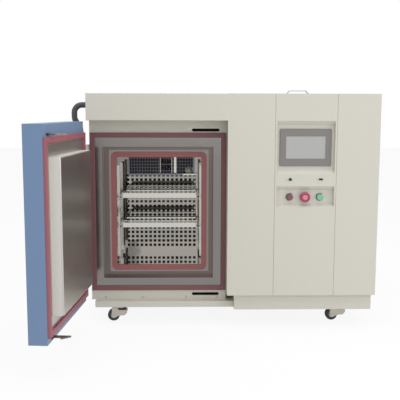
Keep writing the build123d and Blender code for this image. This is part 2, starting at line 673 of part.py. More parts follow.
BEZEL_THICKNESS = 3.0
BEZEL_FACE = RECESS_FACE - BEZEL_THICKNESS
BUTTON_TRAVEL = 3.0
STEM_RADIUS = 6.0
with BuildPart() as button_bezels:
    for n in (-1, 0, 1):
        x = COLUMN_MID + n * BUTTON_PITCH
        rod(x, (BEZEL_FACE, RECESS_FACE), BUTTON_CENTRE, BUTTON_BEZEL_RADIUS, "Y")
        rod(x, (RECESS_FACE, RECESS_FACE + 30), BUTTON_CENTRE, 8, "Y")
        rod(
            x,
            (BEZEL_FACE - 1, RECESS_FACE + 24),
            BUTTON_CENTRE,
            STEM_RADIUS + RUNNING_CLEARANCE,
            "Y",
            mode=Mode.SUBTRACT,
        )
save(button_bezels.part, "button_bezels")

BUTTON_BASE = BEZEL_FACE - BUTTON_TRAVEL - BODY_CLEARANCE
STEM_END = RECESS_FACE + 20
CAP_HEIGHT = 8.0
MUSHROOM_HEIGHT = 14.0
SOCKET_DEPTH = 9.0
for name, n in (("off_button", -1), ("start_button", 1)):
    x = COLUMN_MID + n * BUTTON_PITCH
    with BuildPart() as button:
        rod(x, (BUTTON_BASE - CAP_HEIGHT, BUTTON_BASE), BUTTON_CENTRE, BUTTON_CAP_RADIUS, "Y")
        fillet(button.faces().sort_by(Axis.Y)[0].edges(), 1.5)
        rod(x, (BUTTON_BASE, STEM_END), BUTTON_CENTRE, STEM_RADIUS, "Y")
    save(button.part, name)

STOP_BASE = BUTTON_BASE - 1
with BuildPart() as stop_stem:
    rod(COLUMN_MID, (STOP_BASE - SOCKET_DEPTH, STEM_END), BUTTON_CENTRE, STEM_RADIUS, "Y")
save(stop_stem.part, "stop_stem")

with BuildPart() as stop_cap:
    rod(COLUMN_MID, (STOP_BASE - MUSHROOM_HEIGHT, STOP_BASE), BUTTON_CENTRE, MUSHROOM_RADIUS, "Y")
    fillet(stop_cap.faces().sort_by(Axis.Y)[0].edges(), 5)
    fillet(stop_cap.faces().sort_by(Axis.Y)[-1].edges(), 3)
    rod(
        COLUMN_MID,
        (STOP_BASE - SOCKET_DEPTH - BODY_CLEARANCE, STOP_BASE + 1),
        BUTTON_CENTRE,
        STEM_RADIUS + RUNNING_CLEARANCE,
        "Y",
        mode=Mode.SUBTRACT,
    )
save(stop_cap.part, "stop_cap")

# Cable port in the left wall

PORT_FACE = LEFT - 3.0
with BuildPart() as cable_port_sleeve:
    rod((PORT_FACE, CAVITY_X), PORT_Y, PORT_Z, PORT_BORE_RADIUS + PORT_WALL, "X")
    rod((PORT_FACE, LEFT), PORT_Y, PORT_Z, PORT_FLANGE_RADIUS, "X")
    rod(
        (PORT_FACE - 1, CAVITY_X + 1),
        PORT_Y,
        PORT_Z,
        PORT_BORE_RADIUS,
        "X",
        mode=Mode.SUBTRACT,
    )
save(cable_port_sleeve.part, "cable_port_sleeve")

PORT_PLUG_LENGTH = 70.0
with BuildPart() as cable_port_plug:
    with BuildSketch(Plane(origin=(0, PORT_Y, PORT_Z), x_dir=(1, 0, 0), z_dir=(0, -1, 0))):
        with BuildLine():
            head = PORT_FACE - BODY_CLEARANCE
            tip = PORT_FACE - PORT_PLUG_HEAD
            end = PORT_FACE + PORT_PLUG_LENGTH
            fitted = PORT_BORE_RADIUS - RUNNING_CLEARANCE
            Polyline(
                (end, 0),
                (end, fitted - 3),
                (end - 8, fitted),
                (head, fitted),
                (head, PORT_BORE_RADIUS + 4),
                (tip + 3, PORT_BORE_RADIUS + 4),
                (tip, PORT_BORE_RADIUS + 1),
                (tip, 0),
                close=True,
            )
        make_face()
    revolve(axis=Axis((0, PORT_Y, PORT_Z), (1, 0, 0)))
save(cable_port_plug.part, "cable_port_plug")

# Inside the cavity

RAIL_ROWS = (PORT_Y + PORT_BORE_RADIUS + 12, BAFFLE_FRONT - 40 - RAIL_WIDTH)
RAIL_HOLE_PITCH = 24.0
RAIL_HOLES = 16
RUNNER_FRONT = CAVITY_FRONT + 14
RUNNER_BACK = BAFFLE_FRONT - 8
with BuildPart() as shelf_rails:
    for y in RAIL_ROWS:
        for x in (CAVITY_X, CAVITY_RIGHT - RAIL_DEPTH):
            block((x, x + RAIL_DEPTH), (y, y + RAIL_WIDTH), (CAVITY_FLOOR + 20, CAVITY_TOP - 40))
        for n in range(RAIL_HOLES):
            z = CAVITY_FLOOR + 36 + RAIL_HOLE_PITCH * n
            mid = y + RAIL_WIDTH / 2
            block(
                (CAVITY_X - 1, CAVITY_RIGHT + 1),
                (mid - 2.5, mid + 2.5),
                (z, z + 11),
                mode=Mode.SUBTRACT,
            )
    for level in SHELF_LEVELS:
        top = level - BODY_CLEARANCE
        for side, wall_x in ((1, CAVITY_X + RAIL_DEPTH), (-1, CAVITY_RIGHT - RAIL_DEPTH)):
            shelf_edge = wall_x + side * RUNNER_WIDTH
            block((wall_x, shelf_edge), (RUNNER_FRONT, RUNNER_BACK), (top - RUNNER_SHEET, top))
            block(
                (wall_x, wall_x + side * RUNNER_SHEET),
                (RUNNER_FRONT, RUNNER_BACK),
                (top - 12, top),
            )
save(shelf_rails.part, "shelf_rails")

SHELF_X = (
    CAVITY_X + RAIL_DEPTH + SHELF_SIDE_GAP,
    CAVITY_RIGHT - RAIL_DEPTH - SHELF_SIDE_GAP,
)
SHELF_Y = (CAVITY_FRONT + 14, CAVITY_FRONT + 14 + SHELF_DEPTH)
for name, level in zip(("shelf_lower", "shelf_upper"), SHELF_LEVELS):
    frame_top = level + 2 * SHELF_WIRE
    with BuildPart() as shelf:
        with BuildSketch(Plane.XY.offset(level)):
            with Locations((sum(SHELF_X) / 2, sum(SHELF_Y) / 2)):
                RectangleRounded(SHELF_X[1] - SHELF_X[0], SHELF_DEPTH, 14)
                RectangleRounded(SHELF_X[1] - SHELF_X[0] - 12, SHELF_DEPTH - 12, 8, mode=Mode.SUBTRACT)
        extrude(amount=2 * SHELF_WIRE)
        pitch = (SHELF_X[1] - SHELF_X[0] - 12) / (SHELF_WIRES + 1)
        for n in range(SHELF_WIRES):
            x = SHELF_X[0] + 6 + pitch * (n + 1)
            rod(x, (SHELF_Y[0] + 3, SHELF_Y[1] - 3), level + SHELF_WIRE, SHELF_WIRE / 2, "Y")
        for y in (0.33, 0.67):
            along = SHELF_Y[0] + y * SHELF_DEPTH
            block((SHELF_X[0] + 3, SHELF_X[1] - 3), (along - 2, along + 2), (level, level + SHELF_WIRE))
        block(
            (SHELF_X[0] + 14, SHELF_X[1] - 14),
            (SHELF_Y[0] - 1.5, SHELF_Y[0] + 1),
            (level, level + SHELF_BAR_HEIGHT),
        )
    save(shelf.part, name)

PERFORATION_BOTTOM = CAVITY_FLOOR + 20
with BuildPart() as air_baffle:
    block((CAVITY_X, CAVITY_RIGHT), (BAFFLE_FRONT, BAFFLE_FRONT + BAFFLE_SHEET), (CAVITY_FLOOR, CAVITY_TOP))
    with BuildSketch(facing_front(BAFFLE_FRONT - 1)):
        with Locations((FAN_X, PERFORATION_BOTTOM + PERFORATION_ROWS * PERFORATION_PITCH / 2)):
            with GridLocations(PERFORATION_PITCH, PERFORATION_PITCH, PERFORATION_COLUMNS, PERFORATION_ROWS):
                Rectangle(PERFORATION, PERFORATION)
    extrude(amount=-5, mode=Mode.SUBTRACT)
    block(
        (FAN_X - GRILLE_WIDTH / 2, FAN_X + GRILLE_WIDTH / 2),
        (BAFFLE_FRONT - 1, BAFFLE_FRONT + 3),
        (CAVITY_TOP - 8 - GRILLE_HEIGHT, CAVITY_TOP - 3),
        mode=Mode.SUBTRACT,
    )
save(air_baffle.part, "air_baffle")

GRILLE_DEPTH = 4.0
GRILLE_BARS = 24
GRILLE_ROWS = 6
with BuildPart() as air_grille:
    grille_low = CAVITY_TOP - 8 - GRILLE_HEIGHT
    grille_left = FAN_X - GRILLE_WIDTH / 2
    grille_right = FAN_X + GRILLE_WIDTH / 2
    with BuildSketch(facing_front(BAFFLE_FRONT)):
        frame_sketch((grille_left - 6, grille_right + 6), (grille_low - 6, CAVITY_TOP - 1), 8)
    extrude(amount=GRILLE_DEPTH)
    for n in range(1, GRILLE_BARS):
        x = grille_left + n * GRILLE_WIDTH / GRILLE_BARS
        rod(x, BAFFLE_FRONT - 1.5, (grille_low, CAVITY_TOP - 6), 1.5, "Z")
    for n in range(1, GRILLE_ROWS):
        z = grille_low + n * GRILLE_HEIGHT / GRILLE_ROWS
        block((grille_left, grille_right), (BAFFLE_FRONT - 1.5, BAFFLE_FRONT), (z - 1, z + 1))
save(air_grille.part, "air_grille")

FAN_FRONT = BAFFLE_FRONT + 8
FAN_DEPTH = 32.0
FAN_BLADES = 10
MOTOR_FRONT = INSULATION_BACK
with BuildPart() as fan_wheel:
    rod(FAN_X, (FAN_FRONT, FAN_FRONT + FAN_DEPTH), FAN_Z, 16, "Y")
    rod(FAN_X, (FAN_FRONT + FAN_DEPTH - 3, FAN_FRONT + FAN_DEPTH), FAN_Z, FAN_RADIUS, "Y")
    for n in range(FAN_BLADES):
        angle = 360.0 / FAN_BLADES * n
        out = FAN_RADIUS - 14
        centre = (
            FAN_X + out * cos(radians(angle)),
            FAN_FRONT + FAN_DEPTH / 2,
            FAN_Z + out * sin(radians(angle)),
        )
        with Locations(Location(centre, (0, -angle - 35, 0))):
            Box(24, FAN_DEPTH, 2)
    rod(FAN_X, (FAN_FRONT + FAN_DEPTH, MOTOR_FRONT + 40), FAN_Z, SHAFT_RADIUS, "Y")
save(fan_wheel.part, "fan_wheel")

with BuildPart() as fan_motor:
    block((FAN_X - 70, FAN_X + 70), (MOTOR_FRONT, MOTOR_FRONT + 3), (FAN_Z - 70, FAN_Z + 70))
    rod(FAN_X, (MOTOR_FRONT, MOTOR_FRONT + 110), FAN_Z, 50, "Y")
    bore = SHAFT_RADIUS + RUNNING_CLEARANCE
    rod(FAN_X, (MOTOR_FRONT - 1, MOTOR_FRONT + 45), FAN_Z, bore, "Y", mode=Mode.SUBTRACT)
save(fan_motor.part, "fan_motor")

COIL_FRONT = BAFFLE_FRONT + 8
EVAPORATOR_HEIGHT = 170.0
with BuildPart() as evaporator:
    block(
        (CAVITY_X + 15, CAVITY_RIGHT - 15),
        (COIL_FRONT, LINER_BACK),
        (CAVITY_FLOOR, CAVITY_FLOOR + EVAPORATOR_HEIGHT),
    )
    for n in range(24):
        x = CAVITY_X + 25 + n * 12.7
        block(
            (x, x + 8),
            (COIL_FRONT - 1, LINER_BACK - 10),
            (CAVITY_FLOOR + 8, CAVITY_FLOOR + EVAPORATOR_HEIGHT - 8),
            mode=Mode.SUBTRACT,
        )
save(evaporator.part, "evaporator")

HEATER_BOTTOM = CAVITY_FLOOR + EVAPORATOR_HEIGHT + 40
with BuildPart() as heater:
    for x in (CAVITY_X + 15, CAVITY_RIGHT - 15 - 6):
        block((x, x + 6), (COIL_FRONT + 4, LINER_BACK), (HEATER_BOTTOM, HEATER_BOTTOM + 90))
    for n in range(4):
        z = HEATER_BOTTOM + 12 + 22 * n
        rod((CAVITY_X + 18, CAVITY_RIGHT - 18), COIL_FRONT + 18, z, 4, "X")
save(heater.part, "heater")

LAMP_X = FAN_X + 126
LAMP_Z = CAVITY_TOP - 76
LAMP_RADIUS = 17.0
with BuildPart() as chamber_lamp:
    lamp_back = BAFFLE_FRONT - GRILLE_DEPTH
    rod(LAMP_X, (lamp_back - 6, lamp_back), LAMP_Z, LAMP_RADIUS, "Y")
    with Locations((LAMP_X, lamp_back - 6, LAMP_Z)):
        Sphere(LAMP_RADIUS - 3)
    block(
        (LAMP_X - 50, LAMP_X + 50),
        (lamp_back, lamp_back + 50),
        (LAMP_Z - 50, LAMP_Z + 50),
        mode=Mode.SUBTRACT,
    )
save(chamber_lamp.part, "chamber_lamp")

# Machine compartment

MACHINE_FLOOR = CONTROL_BOTTOM + 2
COMPRESSOR_PLACE = (SPLIT + 190, FRONT + 420)
COMPRESSOR_RADIUS = 85.0
COMPRESSOR_HEIGHT = 250.0
COMPRESSOR_DOME = 40.0
COMPRESSOR_FOOT = 22.0
COMPRESSOR_FOOT_SIZE = 190.0
with BuildPart() as compressor:
    x, y = COMPRESSOR_PLACE
    foot = COMPRESSOR_FOOT_SIZE / 2
    rod(x, y, (MACHINE_FLOOR + COMPRESSOR_FOOT - 2, MACHINE_FLOOR + COMPRESSOR_HEIGHT), COMPRESSOR_RADIUS)
    fillet(compressor.faces().sort_by(Axis.Z)[-1].edges(), COMPRESSOR_DOME)
    block((x - foot, x + foot), (y - foot, y + foot), (MACHINE_FLOOR, MACHINE_FLOOR + COMPRESSOR_FOOT))
save(compressor.part, "compressor")

CONDENSER_HEIGHT = 340.0
CONDENSER_FRONT = BACK - 110
CONDENSER_X = (SPLIT + RIGHT) / 2 - 35
CONDENSER_Z = MACHINE_FLOOR + CONDENSER_HEIGHT / 2
CONDENSER_WIDTH = 414.0
CONDENSER_FINS = 20
CONDENSER_FIN_PITCH = 16.2
CONDENSER_FIN_GAP = 10.0
COOLING_FAN_RADIUS = 130.0
COOLING_FAN_BLADES = 5
with BuildPart() as condenser:
    half = CONDENSER_WIDTH / 2
    block(
        (CONDENSER_X - half, CONDENSER_X + half),
        (CONDENSER_FRONT, BACK - 30),
        (MACHINE_FLOOR, MACHINE_FLOOR + CONDENSER_HEIGHT),
    )
    for n in range(CONDENSER_FINS):
        z = MACHINE_FLOOR + 14 + n * CONDENSER_FIN_PITCH
        block(
            (CONDENSER_X - half + 12, CONDENSER_X + half - 12),
            (CONDENSER_FRONT - 1, BACK - 52),
            (z, z + CONDENSER_FIN_GAP),
            mode=Mode.SUBTRACT,
        )
    rod(CONDENSER_X, (CONDENSER_FRONT - 90, CONDENSER_FRONT - 40), CONDENSER_Z, 35, "Y")
    rod(CONDENSER_X, (CONDENSER_FRONT - 90, CONDENSER_FRONT - 8), CONDENSER_Z, SHAFT_RADIUS, "Y")
    block(
        (CONDENSER_X - 20, CONDENSER_X + 20),
        (CONDENSER_FRONT - 85, CONDENSER_FRONT - 45),
        (MACHINE_FLOOR, CONDENSER_Z),
    )
save(condenser.part, "condenser")

with BuildPart() as condenser_fan:
    fan_y = (CONDENSER_FRONT - 36, CONDENSER_FRONT - 12)
    rod(CONDENSER_X, fan_y, CONDENSER_Z, 28, "Y")
    for n in range(COOLING_FAN_BLADES):
        angle = 360.0 / COOLING_FAN_BLADES * n
        out = COOLING_FAN_RADIUS / 2 + 10
        centre = (
            CONDENSER_X + out * cos(radians(angle)),
            sum(fan_y) / 2,
            CONDENSER_Z + out * sin(radians(angle)),
        )
        with Locations(Location(centre, (0, -angle, 0))):
            with Locations(Location((0, 0, 0), (25, 0, 0))):
                Box(COOLING_FAN_RADIUS - 20, 3, 50)
    bore = SHAFT_RADIUS + RUNNING_CLEARANCE
    rod(CONDENSER_X, (fan_y[0] - 1, fan_y[1] + 1), CONDENSER_Z, bore, "Y", mode=Mode.SUBTRACT)
save(condenser_fan.part, "condenser_fan")

with BuildPart() as water_tank:
    block((RIGHT - 120, RIGHT - 20), (FRONT + 60, FRONT + 340), (MACHINE_FLOOR, MACHINE_FLOOR + 280))
    fillet(water_tank.edges().filter_by(Axis.Z), 15)
save(water_tank.part, "water_tank")

# Hinges

BRACKET_SHEET = 4.0
BRACKET_FRONT = FASCIA + 2
BRACKET_BACK = FASCIA + 59
with BuildPart() as hinge_brackets:
    for centre in HINGE_CENTRES:
        low = centre - HINGE_HEIGHT / 2
        high = centre + HINGE_HEIGHT / 2
        block((LEFT - BRACKET_SHEET, LEFT), (BRACKET_FRONT, BRACKET_BACK), (low, high))
        for bottom in (low, high - HINGE_ARM):
            with BuildSketch(Plane.XY.offset(bottom)):
                with BuildLine():
                    Polyline(
                        (HINGE_X - 8, HINGE_Y + 4),
                        (HINGE_X + 6, HINGE_Y - 6),
                        (LEFT, BRACKET_FRONT),
                        (LEFT, BRACKET_FRONT + 24),
                        close=True,
                    )
                make_face()
            extrude(amount=HINGE_ARM)
            rod(HINGE_X, HINGE_Y, (bottom, bottom + HINGE_ARM), KNUCKLE_RADIUS)
        rod(HINGE_X, HINGE_Y, (low - 1, high + 1), PIN_RADIUS, mode=Mode.SUBTRACT)
save(hinge_brackets.part, "hinge_brackets")

with BuildPart() as hinge_pins:
    for centre in HINGE_CENTRES:
        rod(HINGE_X, HINGE_Y, (centre - HINGE_HEIGHT / 2, centre + HINGE_HEIGHT / 2), PIN_RADIUS)
save(hinge_pins.part, "hinge_pins")

LEAF_INNER = -4.0
LEAF_OUTER = -40.0
with BuildPart(DOOR_PLANE) as door_hinge_leaves:
    for centre in HINGE_CENTRES:
        arm = (centre - HINGE_HEIGHT / 2 + HINGE_ARM, centre + HINGE_HEIGHT / 2 - HINGE_ARM)
        arm = (arm[0] + BODY_CLEARANCE, arm[1] - BODY_CLEARANCE)
        block(
            (HINGE_TO_EDGE - LEAF_THICKNESS, HINGE_TO_EDGE),
            (LEAF_OUTER, LEAF_INNER),
            (centre - HINGE_HEIGHT / 2, centre + HINGE_HEIGHT / 2),
        )
        block((0, HINGE_TO_EDGE - 1), (-KNUCKLE_RADIUS, 0), arm)
        rod(0, 0, arm, KNUCKLE_RADIUS)
        bore = PIN_RADIUS + RUNNING_CLEARANCE
        rod(0, 0, (arm[0] - 1, arm[1] + 1), bore, mode=Mode.SUBTRACT)
save(door_hinge_leaves.part, "door_hinge_leaves")

# Door

GUIDE_LEVELS = (DOOR_BOTTOM + 50, DOOR_TOP - 70)
GUIDE_HEIGHT = 12.0
with BuildPart(DOOR_PLANE) as door_shell:
    along = (HINGE_TO_EDGE, FREE_EDGE)
    block(along, (-HINGE_TO_SKIN, DOOR_INNER), (DOOR_BOTTOM, DOOR_TOP))
    t = DOOR_SHEET
    block(
        (along[0] + t, along[1] - t),
        (-HINGE_TO_SKIN + t, DOOR_INNER - t),
        (DOOR_BOTTOM + t, DOOR_TOP - t),
        mode=Mode.SUBTRACT,
    )
    for level in (TOP_HOOK, BOTTOM_HOOK):
        block(
            (LATCH_ALONG - 12, LATCH_ALONG + 26),
            (DOOR_INNER - 5, DOOR_INNER + 1),
            (level - 4, level + 4),
            mode=Mode.SUBTRACT,
        )
    cup_x = (LATCH_ALONG - PADDLE_REACH - CUP_PAST_PADDLE, LATCH_ALONG + CUP_PAST_ROD)
    cup_y = (-HINGE_TO_SKIN, -HINGE_TO_SKIN + CUP_DEPTH)
    cup_half = PADDLE_HEIGHT / 2 + CUP_CLEARANCE
    cup_z = (HANDLE_CENTRE - cup_half, HANDLE_CENTRE + cup_half)
    block(
        (cup_x[0] - t, cup_x[1] + t),
        (cup_y[0], cup_y[1] + t),
        (cup_z[0] - t, cup_z[1] + t),
    )
    block(cup_x, (cup_y[0] - 1, cup_y[1]), cup_z, mode=Mode.SUBTRACT)
    bore = ROD_RADIUS + RUNNING_CLEARANCE
    rod(LATCH_ALONG, LATCH_INWARD, (cup_z[0] - 10, cup_z[1] + 10), bore, mode=Mode.SUBTRACT)
    for level in GUIDE_LEVELS:
        z = (level, level + GUIDE_HEIGHT)
        block((LATCH_ALONG - 10, LATCH_ALONG + 10), (-HINGE_TO_SKIN + 1, LATCH_INWARD + 10), z)
        bore = ROD_RADIUS + RUNNING_CLEARANCE
        rod(LATCH_ALONG, LATCH_INWARD, z, bore, mode=Mode.SUBTRACT)
save(door_shell.part, "door_shell")

PANEL_X = (HINGE_TO_EDGE + 22, FREE_EDGE - 21)
PANEL_Z = (DOOR_BOTTOM + 43, DOOR_TOP - 63)
PLUG_X = (STEP[0] + PLUG_CLEARANCE - HINGE_X, STEP[1] - PLUG_CLEARANCE - HINGE_X)
PLUG_Z = (STEP[2] + PLUG_CLEARANCE, STEP[3] - PLUG_CLEARANCE)
with BuildPart(DOOR_PLANE) as door_inner_panel:
    block(PLUG_X, (DOOR_INNER, DOOR_INNER + PLUG_DEPTH), PLUG_Z)
    fillet(door_inner_panel.edges().filter_by(Axis.Z), PLUG_RADIUS)
    fillet(door_inner_panel.faces().sort_by(Axis.X)[-1].edges(), PLUG_RADIUS / 2)
    block(PANEL_X, (DOOR_INNER, DOOR_INNER + INNER_PANEL_SHEET), PANEL_Z)
save(door_inner_panel.part, "door_inner_panel")

DOOR_SEAL_THICKNESS = FRONT_RECESS - DOOR_SKIN_DEPTH - DOOR_THICKNESS - OUTER_SEAL_THICKNESS - SEAL_GAP
SEAL_X = (PANEL_X[0] - DOOR_SEAL_WIDTH, PANEL_X[1] + DOOR_SEAL_WIDTH)
SEAL_Z = (PANEL_Z[0] - DOOR_SEAL_WIDTH - 3, PANEL_Z[1] + DOOR_SEAL_WIDTH + 3)
with BuildPart(DOOR_PLANE) as door_gasket:
    block(SEAL_X, (DOOR_INNER, DOOR_INNER + DOOR_SEAL_THICKNESS), SEAL_Z)
    block(
        PANEL_X,
        (DOOR_INNER - 1, DOOR_INNER + DOOR_SEAL_THICKNESS + 1),
        (PANEL_Z[0], PANEL_Z[1]),
        mode=Mode.SUBTRACT,
    )
save(door_gasket.part, "door_gasket")

with BuildPart(DOOR_PLANE) as conduit_elbow:
    outer = CONDUIT_RADIUS + BODY_CLEARANCE + ELBOW_WALL
    rod(0, 0, (ELBOW_CENTRE - outer, ELBOW_CENTRE + ELBOW_SOCKET), outer)
    rod((0, HINGE_TO_EDGE), 0, ELBOW_CENTRE, outer - 2, "X")
    rod(
        0,
        0,
        (ELBOW_CENTRE, ELBOW_CENTRE + ELBOW_SOCKET + 1),
        CONDUIT_RADIUS + BODY_CLEARANCE,
        mode=Mode.SUBTRACT,
    )
save(conduit_elbow.part, "conduit_elbow")

# Latch: one rod with a hook at each end, turned by the handle outside

with BuildPart(LATCH_PLANE) as latch_rod:
    rod(0, 0, (DOOR_BOTTOM + DOOR_SHEET + 1, DOOR_TOP - DOOR_SHEET - 1), ROD_RADIUS)
    for level in (TOP_HOOK, BOTTOM_HOOK):
        z = (level - HOOK_THICKNESS / 2, level + HOOK_THICKNESS / 2)
        block((-HOOK_WIDTH / 2, HOOK_WIDTH / 2), (0, HOOK_REACH - 12), z)
        with BuildSketch(LATCH_PLANE.offset(z[0])):
            with BuildLine():
                Polyline(
                    (-HOOK_WIDTH / 2, HOOK_REACH - 30),
                    (HOOK_WIDTH / 2, HOOK_REACH - 30),
                    (HOOK_WIDTH / 2 + HOOK_BARB, HOOK_REACH - 30),
                    (-HOOK_WIDTH / 2 + 3, HOOK_REACH),
                    (-HOOK_WIDTH / 2, HOOK_REACH - 2),
                    close=True,
                )
            make_face()
        extrude(amount=HOOK_THICKNESS)
save(latch_rod.part, "latch_rod")

# The paddle is drawn as it lies when locked, level with the outer skin
HANDLE_PLANE = Plane(
    origin=LATCH_PLANE.origin,
    x_dir=(cos(OPEN - TURN), -sin(OPEN - TURN), 0),
    z_dir=(0, 0, 1),
)
with BuildPart(HANDLE_PLANE) as door_handle:
    z = (HANDLE_CENTRE - PADDLE_HEIGHT / 2, HANDLE_CENTRE + PADDLE_HEIGHT / 2)
    outer = -SKIN_FROM_ROD - PADDLE_THICKNESS / 2
    inner = outer + PADDLE_THICKNESS
    hub = ROD_RADIUS + 4
    with BuildSketch(HANDLE_PLANE.offset(z[0])):
        with BuildLine():
            Polyline(
                (-PADDLE_REACH, outer),
                (-PADDLE_REACH, inner),
                (-PADDLE_ROOT - 8, inner),
                (-hub, 0),
                (0, -hub),
                (-PADDLE_ROOT, outer),
                close=True,
            )
        make_face()
    extrude(amount=z[1] - z[0])
    end = door_handle.edges().filter_by(Axis.Z).sort_by(Axis(HANDLE_PLANE.origin, HANDLE_PLANE.x_dir))
    fillet(end[:2], PADDLE_THICKNESS / 2 - 1)
    rod(0, 0, (HANDLE_CENTRE - 40, HANDLE_CENTRE + 40), hub)
    rod(0, 0, (z[0] - 1, z[1] + 1), ROD_RADIUS, mode=Mode.SUBTRACT)
save(door_handle.part, "door_handle")

# Conduit and outlets

EXIT_Z = CASE_HEIGHT - CONDUIT_EXIT_BELOW_TOP
OUT_X = LEFT - CONDUIT_OUT
with BuildPart() as conduit:
    with BuildLine() as route:
        FilletPolyline(
            (LEFT, HINGE_Y, EXIT_Z),
            (OUT_X, HINGE_Y, EXIT_Z),
            (OUT_X, HINGE_Y, HEADER_BOTTOM + 6),
            (HINGE_X, HINGE_Y, ELBOW_CENTRE + 40),
            (HINGE_X, HINGE_Y, ELBOW_CENTRE + 2),
            radius=CONDUIT_BEND,
        )
    with BuildSketch(Plane(origin=route.line @ 0, z_dir=route.line % 0)):
        Circle(CONDUIT_RADIUS)
    sweep(path=route.line)
save(conduit.part, "conduit")

with BuildPart() as drain_spigot:
    rod(LEFT + 120, (BACK, BACK + SPIGOT_LENGTH), CHAMBER_BOTTOM + 40, SPIGOT_RADIUS, "Y")
    rod(LEFT + 120, (BACK, BACK + 3), CHAMBER_BOTTOM + 40, SPIGOT_RADIUS + 8, "Y")
    rod(
        LEFT + 120,
        (BACK - 1, BACK + SPIGOT_LENGTH + 1),
        CHAMBER_BOTTOM + 40,
        SPIGOT_RADIUS - 2,
        "Y",
        mode=Mode.SUBTRACT,
    )
save(drain_spigot.part, "drain_spigot")
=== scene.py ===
"""Looks of the environmental test chamber: finishes for its pieces, small fittings
that the solids leave out, and a plain stage. Metres, in the frame of the solids.
"""

import math

import bmesh
import bpy
from mathutils import Matrix, Vector


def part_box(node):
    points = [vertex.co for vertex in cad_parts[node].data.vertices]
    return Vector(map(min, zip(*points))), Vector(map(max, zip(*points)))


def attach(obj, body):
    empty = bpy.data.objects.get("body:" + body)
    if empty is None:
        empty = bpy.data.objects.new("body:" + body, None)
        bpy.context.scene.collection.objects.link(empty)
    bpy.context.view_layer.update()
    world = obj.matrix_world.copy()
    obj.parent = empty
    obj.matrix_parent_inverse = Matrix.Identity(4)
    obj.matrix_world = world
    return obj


bl_info = {
    "name": "Environmental Test Chamber",
    "version": (1, 0, 0),
    "blender": (4, 5, 0),
    "location": "3D View > Sidebar > Chamber",
    "description": "Finishes and fittings of a test chamber, and its stage",
    "category": "Object",
}

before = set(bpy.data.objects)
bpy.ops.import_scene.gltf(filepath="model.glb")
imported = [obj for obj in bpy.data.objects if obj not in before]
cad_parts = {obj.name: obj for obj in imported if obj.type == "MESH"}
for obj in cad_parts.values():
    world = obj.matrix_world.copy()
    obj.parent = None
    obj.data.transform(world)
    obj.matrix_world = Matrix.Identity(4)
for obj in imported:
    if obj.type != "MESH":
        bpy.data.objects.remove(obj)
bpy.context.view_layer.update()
MM = 0.001

LEFT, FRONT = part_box("header_cover")[0][:2]
FASCIA_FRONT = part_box("chamber_fascia")[0][1]

# The plug of the door, from the hinge axis: along the door, into the room, and up
PLUG_ALONG = (86.0 * MM, 524.0 * MM)
PLUG_INWARD = (18.0 * MM, 52.0 * MM)
PLUG_LEVELS = (200.0 * MM, 730.0 * MM)

# Screws of the fascia, in millimetres across from the left edge of the case
FASCIA_SCREWS_ACROSS = (57, 212, 392, 520)
FASCIA_SCREW_LEVEL = 112 * MM
SCREW_ROUNDING = 1.2 * MM

# Screws of the port plates, from either end of them
PORT_SCREW_INSETS = (3.5 * MM, 26.5 * MM)
PORT_SCREW_RADIUS = 1.8 * MM
PORT_SCREW_HEIGHT = 1.0 * MM

# Screws of the rear panel, in from its ends and from its top and bottom
REAR_SCREW_INSETS = (25 * MM, 15 * MM)
REAR_SCREW_COLUMNS = 7

# Screws of the hinge brackets, in millimetres up from a bracket's foot and back from the fascia
BRACKET_THICKNESS = 4 * MM
BRACKET_HEIGHT = 90 * MM
BRACKET_SCREW_RADIUS = 3.4 * MM
BRACKET_SCREW_HEIGHT = 2 * MM
BRACKET_SCREW_RISES = (12, 45, 78)
BRACKET_SCREW_BACKS = (34, 50)

# The conduit's bend, how far above the fascia it starts to slant, and how far above its socket
# it ends, and its nut
CONDUIT_BEND = 30 * MM
CONDUIT_KINK_RISE = 14 * MM
CONDUIT_FOOT_RISE = 16 * MM
CONDUIT_NUT_THICKNESS = 8 * MM
CONDUIT_NUT_REACH = 5 * MM

# The stop button's disc and three arrows, and the rims of the other buttons
STOP_DISC_RADIUS = 10 * MM
ARROW_RADIUS = 6 * MM
ARROW_STEP = math.radians(14)
ARROW_PARTS = 5
ARROW_PART_SIZE = (1.6 * MM, 0.5 * MM, 1.8 * MM)
ARROW_HEAD_RADIUS = 2.0 * MM
RIM_RADIUS = 13.8 * MM

# The castor's cheek, as (along, up) millimetres from the axle, and what it carries
CHEEK_OUTLINE = (
    (-8, -7), (0, -11), (9, -9), (20, -2), (48, 1), (57, 12), (57, 23), (22, 23), (16, 33), (-3, 33),
)
CHEEK_THICKNESS = 1.6 * MM
CHEEK_OFFSET = 16.6 * MM
AXLE_END_RADIUS = 5 * MM
AXLE_END_THICKNESS = 2 * MM
AXLE_END_OFFSET = CHEEK_OFFSET + 1.8 * MM
HUB_CAP_RADIUS = 14 * MM
HUB_CAP_THICKNESS = 1.2 * MM
SHOE_SIZE = (36 * MM, 34 * MM, 10 * MM)
SHOE_PLACE = (36 * MM, 27.5 * MM)

# Data sockets, as (across, up) millimetres from their middles, and how far in from the ends
ROUNDED_SOCKET = ((-6.5, -5.5), (6.5, -5.5), (6.5, 0.5), (3, 5.5), (-3, 5.5), (-6.5, 0.5))
FLAT_SOCKET = ((-7.5, -4), (7.5, -4), (7.5, 4), (-7.5, 4))
SOCKET_INSET = 15 * MM

# The ledge round the inner gasket, coloured dark brown as a painted reflection
LEDGE_MARGIN = 8 * MM
LEDGE_WIDTH = 21 * MM
LEDGE_THICKNESS = 0.6 * MM

